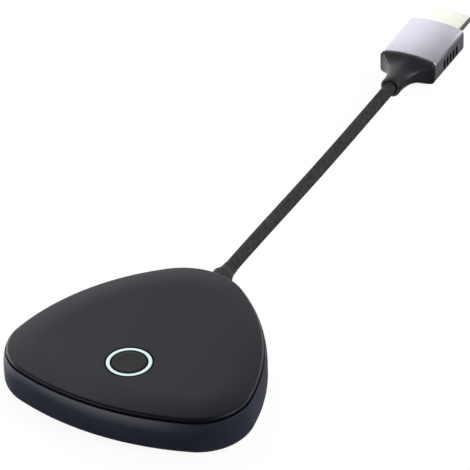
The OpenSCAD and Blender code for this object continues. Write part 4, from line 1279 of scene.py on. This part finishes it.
    def socket_cutter(self) -> Shape:
        """Models the cutter of the power socket's opening in the left flank.

        Returns:
            The cutter.
        """
        radius = self.socket_hole_height / 2
        reach = self.socket_hole_width / 2 - radius
        centre = Vector((0, 0, self.socket_z))
        deep = self.side_radius - 2 * self.wall
        shape = Shape("socket_cutter", centre + Vector((-reach, deep, radius)))
        shape.line(centre + Vector((reach, deep, radius)))
        shape.arc(centre + Vector((reach, deep, 0)), 180, self.socket_steps, -FORWARD)
        shape.line(centre + Vector((-reach, deep, -radius)))
        shape.arc(centre + Vector((-reach, deep, 0)), 180, self.socket_steps, -FORWARD)
        shape.close().extrude(FORWARD * (2 * self.wall + MM)).done()
        turn = Matrix.Rotation(math.radians(self.socket_bearing), 4, "Z")
        shift = Matrix.Translation(self.side_centre * Vector((-1, 1, 0)))
        shape.object.data.transform(shift @ turn)
        return shape

    def relief_cutter(self) -> Shape:
        """Turns the cutter of the strain relief's seat and hole in the nose.

        Returns:
            The cutter.
        """
        profile = [(away * MM, along * MM) for away, along in self.exit_profile]
        return Shape.turned("relief_cutter", UP * self.exit_z, FORWARD, profile, self.round_steps)

    def build_shell(self) -> None:
        """Models the lower shell, hollow, with its rounded edges and openings."""
        shape = self.outline("lower_shell", 0.0, self.base_z + self.base_round)
        rim_start = self.rim_z - self.rim_crest - self.rim_rise
        shape.extrude(UP * (rim_start - self.base_z - self.base_round))
        leans = [math.radians(self.rim_lean * i / self.rim_steps)
                 for i in range(self.rim_steps + 1)]
        radius = self.rim_rise / math.sin(leans[-1])
        shape.steps(arched(radius, leans)).steps(rounding(self.rim_crest, self.crest_steps))
        leaned = radius * (1 - math.cos(leans[-1]))
        shape.steps([(self.seam_inset - self.rim_crest - leaned, 0), (0, self.land_z - self.rim_z),
                     (self.wall - self.seam_inset, 0), (0, self.floor_z - self.land_z)])
        shape.pick_cap(UP, self.base_z + self.base_round)
        shape.steps(rounding(self.base_round, self.base_steps), -UP).done()
        pockets = [self.disc("pocket", spot, self.pocket_radius, self.foot_thickness,
                             self.pocket_lip) for spot in self.foot_spots]
        bores = [self.disc("bore", spot, self.counterbore_radius, self.counterbore_z,
                           self.counterbore_lip) for spot in self.screw_spots]
        holes = [self.disc("hole", spot, self.shank_hole_radius, self.floor_z + MM)
                 for spot in self.screw_spots]
        shape.cut(*pockets, *bores, *holes, self.socket_cutter(), self.relief_cutter())
        shape.place(Body.HOUSING, Slot.SHELL, SHELL_PLASTIC, ["bottom_shell"])

    def build_cover(self) -> None:
        """Models the top cover: crowned, with a groove round its edge, a skirt and a ring hole."""
        low = self.land_z + self.cover_gap
        shape = self.outline("upper_cover", self.cover_inset, low)
        shape.extrude(UP * (self.cover_edge_z - self.land_z - self.cover_gap))
        shape.steps(self.crown())
        shape.pick_cap(UP, low)
        shape.steps([(self.skirt_inset - self.cover_inset, 0), (0, -self.skirt_height),
                     (self.skirt_thickness, 0), (0, self.eaves_z - low + self.skirt_height),
                     (self.eaves_run, self.ceiling_z - self.eaves_z)]).done()
        radius, wide = self.ring_hole_radius, self.ring_hole_radius + self.ring_lip
        cutter = Shape.turned("ring_cutter", FORWARD * self.button_y, UP, [
            (0, self.ring_hole_z), (radius, self.ring_hole_z), (radius, self.top_z - self.ring_lip),
            (wide, self.top_z), (wide, self.top_z + MM), (0, self.top_z + MM)], self.ring_steps)
        groove = self.outline("shadow_band_groove", self.seam_inset, self.land_z - MM)
        groove.extrude(UP * (self.shadow_band_top - self.land_z + MM)).done()
        shape.cut(cutter, self.hollow(groove))
        shape.place(Body.HOUSING, Slot.COVER, COVER_PLASTIC, ["top_cover"])

    @property
    def shadow_band_top(self) -> float:
        """Height at which the shadow band ends and the cover's round edge goes on."""
        return self.cover_edge_z + sum(rise for _, rise in self.crown()[:self.shadow_band_steps])

    def hollow(self, band: Shape) -> Shape:
        """Cuts a finished block along the seam down to a narrow band.

        Args:
            band: The block.

        Returns:
            The band.
        """
        depth, height = self.shadow_band_core
        core = self.outline("shadow_band_core", self.shadow_band_inner, self.land_z - depth)
        core.extrude(UP * height).done()
        return band.cut(core)

    def build_shadow_band(self) -> None:
        """Models a black band in the seam as painted shadow, which starts the round edge of the
        cover.
        """
        shadow_band = self.outline("seam_shadow_band", self.cover_inset, self.shadow_band_low)
        shadow_band.extrude(UP * (self.cover_edge_z - self.shadow_band_low))
        shadow_band.steps(self.crown()[:self.shadow_band_steps]).done()
        self.hollow(shadow_band).place(Body.HOUSING, Slot.FOOT, PAINTED_SHADOW_BAND)

    def build_feet(self) -> None:
        """Models one foot with a rounded edge and a shallow groove, and copies it."""
        spots = self.foot_spots
        r, t, e, bend = self.foot_radius, self.foot_thickness, self.foot_edge, self.foot_bend
        outer, fall, rise, inner = (r - away for away in self.foot_groove)
        deep = self.foot_groove_depth
        foot = Shape.turned("feet", spots[0], UP, [
            (0, t), (r, t), (r, e), (r - bend, bend), (r - e, 0), (outer, 0), (fall, deep),
            (rise, deep), (inner, 0), (0, 0)], self.round_steps)
        foot.join(*[foot.copy(s - spots[0]) for s in spots[1:]])
        foot.place(Body.HOUSING, Slot.FOOT, FOOT_RUBBER, ["rubber_feet"])

    def build(self) -> None:
        """Builds the body's outer pieces."""
        self.build_shell()
        self.build_cover()
        self.build_shadow_band()
        self.build_feet()


@dataclass
class LitButton:
    """Light ring and push button.

    Attributes:
        centre: A point on the common axis.
        top: Height of the lit face.
        ring_radius: Outer radius of the ring's face.
        bore_radius: Inner radius of the ring's face.
        ring_edge: Width of the chamfers on the face.
        pipe_radius: Outer radius of the light pipe below the flange.
        pipe_bore: Inner radius of the light pipe.
        flange_radius: Radius of the flange.
        ceiling: Height of the flange's upper side, under the cover.
        flange_low: Height of its lower side.
        pipe_end: Height at which the pipe ends.
        stop: Height of the step that holds the button.
        button_radius: Radius of the button.
        edge: Width of the button's rounded edge.
        bend: Share of that width at the middle of the edge.
        button_wall: Thickness of the button's side.
        collar_gap: Play of the button's collar in the pipe.
        collar_drop: Height of the collar's upper side below the step.
        collar_height: Height of the collar.
        skin: Thickness of the button's face.
        stem_radius: Radius of the stem on the switch.
        stem_end: Height at which the stem ends.
        dish: How far the face sinks to the middle, as distance from the edge and depth.
        steps: Steps in each turn.
    """

    centre: Vector = field(default_factory=lambda: FORWARD * (BUTTON_SPOT[1] * MM))
    top: float = 14.6 * MM
    ring_radius: float = 7.0 * MM
    bore_radius: float = 5.8 * MM
    ring_edge: float = 0.08 * MM
    pipe_radius: float = 7.5 * MM
    pipe_bore: float = 6.3 * MM
    flange_radius: float = 9.0 * MM
    ceiling: float = 13.0 * MM
    flange_low: float = 12.0 * MM
    pipe_end: float = 6.7 * MM
    stop: float = 12.2 * MM
    button_radius: float = 5.5 * MM
    edge: float = 0.15 * MM
    bend: float = 0.3
    button_wall: float = 1.0 * MM
    collar_gap: float = 0.15 * MM
    collar_drop: float = 0.03 * MM
    collar_height: float = 0.9 * MM
    skin: float = 1.4 * MM
    stem_radius: float = 1.5 * MM
    stem_end: float = 10.1 * MM
    dish: tuple[Pair, ...] = ((1.2 * MM, 0.03 * MM), (3 * MM, 0.06 * MM), (5.5 * MM, 0.07 * MM))
    steps: int = 128

    def build(self) -> None:
        """Builds the ring and the button."""
        e, bore = self.ring_edge, self.bore_radius
        ring = Shape.turned("glow_ring", self.centre, UP, [
            (bore + e, self.top), (self.ring_radius - e, self.top),
            (self.ring_radius, self.top - e), (self.ring_radius, self.ceiling),
            (self.flange_radius, self.ceiling), (self.flange_radius, self.flange_low),
            (self.pipe_radius, self.flange_low), (self.pipe_radius, self.pipe_end),
            (self.pipe_bore, self.pipe_end), (self.pipe_bore, self.stop), (bore, self.stop),
            (bore, self.top - e), (bore + e, self.top)], self.steps)
        ring.place(Body.HOUSING, Slot.LIGHT, LIGHT_GUIDE, ["light_ring"])
        r, t, e, under = self.button_radius, self.top, self.edge, self.top - self.skin
        inner, collar = r - self.button_wall, self.pipe_bore - self.collar_gap
        low, bend = self.stop - self.collar_drop, self.bend * e
        button = Shape.turned("button_disc", self.centre, UP, [
            (0, self.stem_end), (self.stem_radius, self.stem_end), (self.stem_radius, under),
            (inner, under), (inner, low - self.collar_height), (collar, low - self.collar_height),
            (collar, low), (r, low), (r, t - e), (r - bend, t - bend), (r - e, t),
            *[(r - away, t - depth) for away, depth in self.dish]], self.steps)
        button.place(Body.BUTTON, Slot.COVER, BUTTON_PLASTIC, ["button_cap"])


@dataclass
class Lead:
    """Strain relief and free cable.

    Attributes:
        diameter: Diameter of the cable.
        nap: Height of the jacket's fibres on the cable.
        axis_z: Height of the strain relief's axis.
        root: Flange, neck and collar of the relief, as radius and place in millimetres.
        bore: Radius of the relief's bore in millimetres.
        tip: Radius of its mouth in millimetres.
        bell: Radius at which it starts to narrow in millimetres.
        bell_range: Places between which it narrows in millimetres.
        bell_power: Power of the narrowing, 1 for a cone.
        bell_steps: Steps of the narrowing.
        mouth_edge: Width of the chamfer in the mouth in millimetres.
        turn_steps: Steps in the relief's turn.
        girth_steps: Steps in a quarter of the cable's girth.
        span_steps: Steps of the cable between two points of its route.
        smooth: Largest angle between faces of the cable that shade as one, in degrees.
        route: Points that the cable follows.
    """

    diameter: float = 4.2 * MM
    nap: float = 0.04 * MM
    axis_z: float = 6.6 * MM
    root: tuple[Pair, ...] = ((4.0, 31.6), (4.0, 33.2), (2.7, 33.2), (2.7, 37.2), (3.4, 37.2))
    bore: float = 2.15
    tip: float = 2.3
    bell: float = 3.4
    bell_range: Pair = (44.0, 49.5)
    bell_power: float = 2.4
    bell_steps: int = 12
    mouth_edge: float = 0.05
    turn_steps: int = 72
    girth_steps: int = 7
    span_steps: int = 6
    smooth: float = 40.0
    route: tuple[tuple[float, float, float], ...] = (
        (0, 0.0495, 0.0066), (0, 0.054, 0.00658), (0, 0.06, 0.0065), (0, 0.068, 0.00634),
        (0, 0.076, 0.00612), (0, 0.084, 0.00588), (0, 0.092, 0.00564), (0, 0.1, 0.00544),
        (0, 0.108, 0.00526), (0, 0.116, 0.00512), (0, 0.124, 0.00504), (0, 0.132, 0.005),
        (0, 0.14, 0.005), (0, 0.148, 0.00502), (0, 0.155, 0.00506), (0, 0.162, 0.0051),
        (0, 0.167, 0.0051))

    def build_relief(self) -> bpy.types.Object:
        """Turns the strain relief: flange, neck, collar and a bell that narrows.

        Returns:
            The finished object.
        """
        start, end = self.bell_range
        shares = [i / self.bell_steps for i in range(self.bell_steps + 1)]
        curve = [(self.tip + (self.bell - self.tip) * (1 - share) ** self.bell_power,
                  start + (end - start) * share) for share in shares]
        foot = (self.bore, self.root[0][1])
        profile = [foot, *self.root, *curve, (self.bore + self.mouth_edge, end),
                   (self.bore, end - self.mouth_edge), foot]
        shape = Shape.turned("relief", UP * self.axis_z, FORWARD,
                             [(away * MM, along * MM) for away, along in profile],
                             self.turn_steps)
        return shape.place(Body.HOUSING, Slot.RELIEF, RELIEF_RUBBER, ["strain_relief"])

    def build_cable(self) -> None:
        """Draws the free cable along its route.
        """
        data = bpy.data.curves.new("free_cable", "CURVE")
        data.dimensions = "3D"
        data.bevel_depth = self.diameter / 2 + self.nap
        data.bevel_resolution = self.girth_steps
        data.resolution_u = self.span_steps
        spline = data.splines.new("BEZIER")
        spline.bezier_points.add(len(self.route) - 1)
        for point, spot in zip(spline.bezier_points, self.route):
            point.co = spot
            point.handle_left_type = point.handle_right_type = "AUTO"
        cable = bpy.data.objects.new("free_cable", data)
        bpy.context.scene.collection.objects.link(cable)
        choose(cable)
        bpy.ops.object.convert(target="MESH")
        cable = bpy.context.object
        bpy.ops.object.mode_set(mode="EDIT")
        bpy.ops.mesh.select_all(action="SELECT")
        bpy.ops.mesh.remove_doubles(threshold=NEAR)
        bpy.ops.mesh.select_mode(type="EDGE")
        bpy.ops.mesh.select_all(action="DESELECT")
        bpy.ops.mesh.select_non_manifold()
        bpy.ops.mesh.edge_face_add()
        bpy.ops.mesh.select_all(action="SELECT")
        bpy.ops.mesh.normals_make_consistent(inside=False)
        bpy.ops.object.mode_set(mode="OBJECT")
        bpy.ops.object.shade_smooth_by_angle(angle=math.radians(self.smooth))
        settle(cable, Body.HOUSING, CABLE_JACKET, ["cable"])


@dataclass
class VideoPlug:
    """Boot, metal sleeve and connector shell of the plug.

    Attributes:
        axis_z: Height of the plug's axis.
        width: Width of the sleeve.
        height: Height of the sleeve.
        crown: Rise of its crowned top and bottom.
        edge_radius: Radius of its edges.
        crown_steps: Edges in the arc of half its crown.
        edge_steps: Edges in the arc of one of its edges, and of a slot's end.
        sleeve_wall: Thickness of its wall.
        sleeve_lip: Radius of its rims.
        lip_steps: Steps of the rounds on sleeve and boot.
        boot_y: Place at which the boot starts.
        collar_y: Place at which its collar ends.
        rim_y: Place at which its flare ends.
        rim_gap: Depth and width of the gap between boot and sleeve.
        rim_lip: Radius of the boot's rim.
        flare: Share of the flare that is straight.
        flare_steps: Steps of the flare.
        collar_radius: Radius of the collar.
        collar_chamfer: Radius of its edge.
        recess_radius: Radius of the recess for the cable.
        recess_depth: Depth of that recess.
        bore_radius: Radius of the bore beyond it.
        bore_depth: Depth of that bore.
        spigot_y: Place at which the boot's spigot ends in the sleeve.
        spigot_gap: Play of the spigot in the sleeve.
        sleeve_y: Place at which the sleeve starts.
        sleeve_front: Place at which it ends.
        slot_size: Width and height of a slot.
        slot_spot: Place of the first slot from the sleeve's start, and drop below the axis.
        slot_pitch: Distance from slot to slot.
        slot_count: Number of slots in a row.
        shell_y: Place at which the connector's shell starts.
        mouth_y: Place of its mouth.
        shell_corners: Corners of its outline across the plug, in millimetres.
        shell_round: Radius of its corners.
        corner_steps: Edges in the arc of a corner.
        shell_wall: Thickness of its wall.
        shell_lip: Radius of its rolled mouth.
        mouth_steps: Steps of that roll.
        window_x: Distance of a latch window from the middle.
        window_size: Half of a window's width, and its length.
        window_y: Distance of a window from the mouth.
    """

    axis_z: float = 5.1 * MM
    width: float = 20 * MM
    height: float = 10.2 * MM
    crown: float = 1.4 * MM
    edge_radius: float = 1.6 * MM
    crown_steps: int = 14
    edge_steps: int = 10
    sleeve_wall: float = 1.1 * MM
    sleeve_lip: float = 0.25 * MM
    lip_steps: int = 4
    boot_y: float = 165 * MM
    collar_y: float = 167.6 * MM
    rim_y: float = 178.2 * MM
    rim_gap: float = 0.3 * MM
    rim_lip: float = 0.35 * MM
    flare: float = 0.2
    flare_steps: int = 22
    collar_radius: float = 3.5 * MM
    collar_chamfer: float = 0.4 * MM
    recess_radius: float = 2.6 * MM
    recess_depth: float = 2.0 * MM
    bore_radius: float = 2.15 * MM
    bore_depth: float = 4 * MM
    spigot_y: float = 183.1 * MM
    spigot_gap: float = 0.05 * MM
    sleeve_y: float = 179.6 * MM
    sleeve_front: float = 202.2 * MM
    slot_size: Pair = (1.6 * MM, 3.9 * MM)
    slot_spot: Pair = (7.175 * MM, 0.8 * MM)
    slot_pitch: float = 2.4 * MM
    slot_count: int = 5
    shell_y: float = 191.6 * MM
    mouth_y: float = 214.1 * MM
    shell_corners: tuple[Pair, ...] = ((-6.95, 2.225), (6.95, 2.225), (6.95, -0.275),
                                        (5.25, -2.225), (-5.25, -2.225), (-6.95, -0.275))
    shell_round: float = 0.5 * MM
    corner_steps: int = 6
    shell_wall: float = 0.35 * MM
    shell_lip: float = 0.12 * MM
    mouth_steps: int = 3
    window_x: float = 3 * MM
    window_size: Pair = (1.0 * MM, 2.6 * MM)
    window_y: float = 3.6 * MM

    def outline(self, name: str, y: float, inset: float = 0.0) -> Shape:
        """Draws the sleeve's outline across the plug's axis.

        Args:
            name: Name of the shape.
            y: Place along the plug.
            inset: Distance inside the outer surface.

        Returns:
            The shape, with its one face selected.
        """
        half = self.width / 2
        crown_radius = (half ** 2 + self.crown ** 2) / (2 * self.crown)
        crown_low = self.height / 2 - crown_radius
        edge_x = half - self.edge_radius
        rise = math.sqrt((crown_radius - self.edge_radius) ** 2 - edge_x ** 2)
        edge_z = crown_low + rise
        crown_turn = math.degrees(math.atan2(edge_x, rise))
        edge_turn = 90 - crown_turn
        middle = Vector((0, y, self.axis_z))
        top = middle + UP * crown_low
        bottom = middle - UP * crown_low
        corners = [middle + Vector((sx * edge_x, 0, sz * edge_z))
                   for sx, sz in ((1, 1), (1, -1), (-1, -1), (-1, 1))]
        side = half - inset
        heights = [edge_z * share for share in (0.5, 0, -0.5, -1)]
        right = [middle + Vector((side, 0, z)) for z in heights]
        left = [middle + Vector((-side, 0, -z)) for z in heights]
        shape = Shape(name, middle + UP * (self.height / 2 - inset))
        shape.arc(top, crown_turn, self.crown_steps, -FORWARD)
        shape.arc(corners[0], edge_turn, self.edge_steps, -FORWARD).line(*right)
        shape.arc(corners[1], edge_turn, self.edge_steps, -FORWARD)
        shape.arc(bottom, 2 * crown_turn, 2 * self.crown_steps, -FORWARD)
        shape.arc(corners[2], edge_turn, self.edge_steps, -FORWARD).line(*left)
        shape.arc(corners[3], edge_turn, self.edge_steps, -FORWARD)
        shape.arc(top, crown_turn, self.crown_steps, -FORWARD)
        return shape.close()

    def build_boot(self) -> bpy.types.Object:
        """Models the boot: its rim follows the sleeve and flares down to a round collar.

        Returns:
            The finished object.
        """
        gap, lip, chamfer = self.rim_gap, self.rim_lip, self.collar_chamfer
        shape = self.outline("plug_boot_cover", self.sleeve_y - gap)
        shape.extrude(-FORWARD * (self.sleeve_y - gap - self.rim_y - lip))
        shape.steps(rounding(lip, self.lip_steps), -FORWARD)
        mesh = bmesh.from_edit_mesh(shape.object.data)
        axis = Vector((0, self.rim_y, self.axis_z))
        radii = [(v.co - axis).length for v in mesh.verts if v.select]
        mean = sum(radii) / len(radii)
        run = self.rim_y - self.collar_y
        share_now, flat_now = 1.0, 0.0
        for i in range(1, self.flare_steps + 1):
            left = 1 - i / self.flare_steps
            share = self.flare * left + (1 - self.flare) * left ** 3
            flat = (1 - share) * self.collar_radius
            scale = (flat + share * mean) / (flat_now + share_now * mean)
            shape.extrude(-FORWARD * (run / self.flare_steps))
            bpy.ops.transform.tosphere(value=1 - share / (scale * share_now))
            centre = Vector((0, self.rim_y - run * i / self.flare_steps, self.axis_z))
            bpy.ops.transform.resize(value=(scale, 1, scale), center_override=centre)
            share_now, flat_now = share, flat
        shape.extrude(-FORWARD * (self.collar_y - self.boot_y - chamfer))
        shape.steps(rounding(chamfer, self.lip_steps), -FORWARD)
        shape.steps([(self.collar_radius - chamfer - self.recess_radius, 0), (0, self.recess_depth),
                     (self.recess_radius - self.bore_radius, 0), (0, self.bore_depth)], FORWARD)
        shape.pick_cap(FORWARD, self.sleeve_y - gap)
        shape.steps([(gap, 0), (0, gap), (self.sleeve_wall + self.spigot_gap - gap, 0),
                     (0, self.spigot_y - self.sleeve_y)], FORWARD).done()
        return shape.place(Body.HOUSING, Slot.BOOT, BOOT_PLASTIC, ["plug_boot"], 35)

    def slot_cutter(self) -> Shape:
        """Models one slot with rounded ends, to be cut through both side walls.

        Returns:
            The cutter.
        """
        w, h = (size / 2 for size in self.slot_size)
        x, y, z = -self.width, self.sleeve_y + self.slot_spot[0], self.axis_z - self.slot_spot[1]
        shape = Shape("slot_cutter", Vector((x, y - w, z - h + w)))
        shape.line(Vector((x, y - w, z + h - w)))
        shape.arc(Vector((x, y, z + h - w)), 180, self.edge_steps, RIGHT)
        shape.line(Vector((x, y + w, z - h + w)))
        shape.arc(Vector((x, y, z - h + w)), 180, self.edge_steps, RIGHT)
        return shape.close().extrude(RIGHT * (2 * self.width)).done()

    def build_sleeve(self) -> bpy.types.Object:
        """Models the metal sleeve with its slots and softened rims.

        Returns:
            The finished object.
        """
        lip = self.sleeve_lip
        shape = self.outline("plug_metal_sleeve", self.sleeve_y + lip)
        shape.extrude(FORWARD * (self.sleeve_front - self.sleeve_y - 2 * lip))
        shape.steps(rounding(lip, self.lip_steps), FORWARD)
        shape.step(self.sleeve_wall - lip, Vector())
        shape.pick_cap(FORWARD, self.sleeve_y + lip)
        shape.steps(rounding(lip, self.lip_steps), -FORWARD).done()
        hollow = self.outline("sleeve_hollow", self.sleeve_y - MM, self.sleeve_wall)
        hollow.extrude(FORWARD * (self.sleeve_front - self.sleeve_y + 2 * MM)).done()
        slots = self.slot_cutter()
        slots.join(*[slots.copy(FORWARD * (self.slot_pitch * i))
                     for i in range(1, self.slot_count)])
        shape.cut(hollow, slots)
        return shape.place(Body.HOUSING, Slot.SLEEVE, SLEEVE_METAL, ["plug_sleeve"])

    def connector_outline(self, name: str, y: float, inset: float) -> Shape:
        """Draws the connector's outline: wide above, narrow below, all corners round.

        Args:
            name: Name of the shape.
            y: Place along the plug.
            inset: Distance inside the outer surface.

        Returns:
            The shape, with its one face selected.
        """
        radius = self.shell_round
        corners = [Vector((x * MM, y, self.axis_z + z * MM)) for x, z in self.shell_corners]
        shape: Shape | None = None
        for i, spot in enumerate(corners):
            before = (corners[i - 1] - spot).normalized()
            after = (corners[(i + 1) % len(corners)] - spot).normalized()
            half = before.angle(after) / 2
            centre = spot + (before + after).normalized() * radius / math.sin(half)
            begin = centre + Vector((before.z, 0, -before.x)) * (radius - inset)
            shape = shape.line(begin) if shape else Shape(name, begin)
            shape.arc(centre, 180 - math.degrees(2 * half), self.corner_steps, -FORWARD)
        return shape.close()

    def build_connector(self) -> bpy.types.Object:
        """Models the connector's shell with its rolled mouth and latch windows.

        Returns:
            The finished object.
        """
        lip = self.shell_lip
        shape = self.connector_outline("plug_connector", self.shell_y, 0.0)
        shape.extrude(FORWARD * (self.mouth_y - self.shell_y - lip))
        shape.steps(rounding(lip, self.mouth_steps), FORWARD).done()
        hollow = self.connector_outline("connector_hollow", self.shell_y - MM, self.shell_wall)
        hollow.extrude(FORWARD * (self.mouth_y - self.shell_y + 2 * MM)).done()
        half, length = self.window_size
        far = self.mouth_y - self.window_y
        near = far - length
        tools = [hollow]
        for x in (-self.window_x, self.window_x):
            window = Shape("window", Vector((x - half, near, -MM)))
            window.line(Vector((x + half, near, -MM)), Vector((x + half, far, -MM)),
                        Vector((x - half, far, -MM)))
            tools.append(window.close().extrude(UP * (self.axis_z + MM)).done())
        shape.cut(*tools)
        return shape.place(Body.HOUSING, Slot.CONNECTOR, CONNECTOR_METAL, ["connector_shell"])

    def build(self) -> list[bpy.types.Object]:
        """Builds the plug's outer pieces and returns them."""
        return [self.build_boot(), self.build_sleeve(), self.build_connector()]


def dress_nodes() -> None:
    """Gives each node that stays its own finish."""
    for finish, names in NODE_FINISHES.items():
        for name in names:
            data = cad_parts[name].data
            data.materials.clear()
            data.materials.append(finish.material())
        log.info("%s: %d nodes dressed", finish.name, len(names))


def main() -> None:
    """Builds the camera, the plug, the lead, the body, the button and the set, in this order."""
    logging.basicConfig(level=logging.INFO, format="%(message)s")
    studio = Studio()
    studio.set_camera()
    lead = Lead()
    plug_pieces = VideoPlug().build()
    relief = lead.build_relief()
    lead.build_cable()
    Enclosure().build()
    LitButton().build()
    dress_nodes()
    studio.build()


if __name__ == "__main__":
    main()
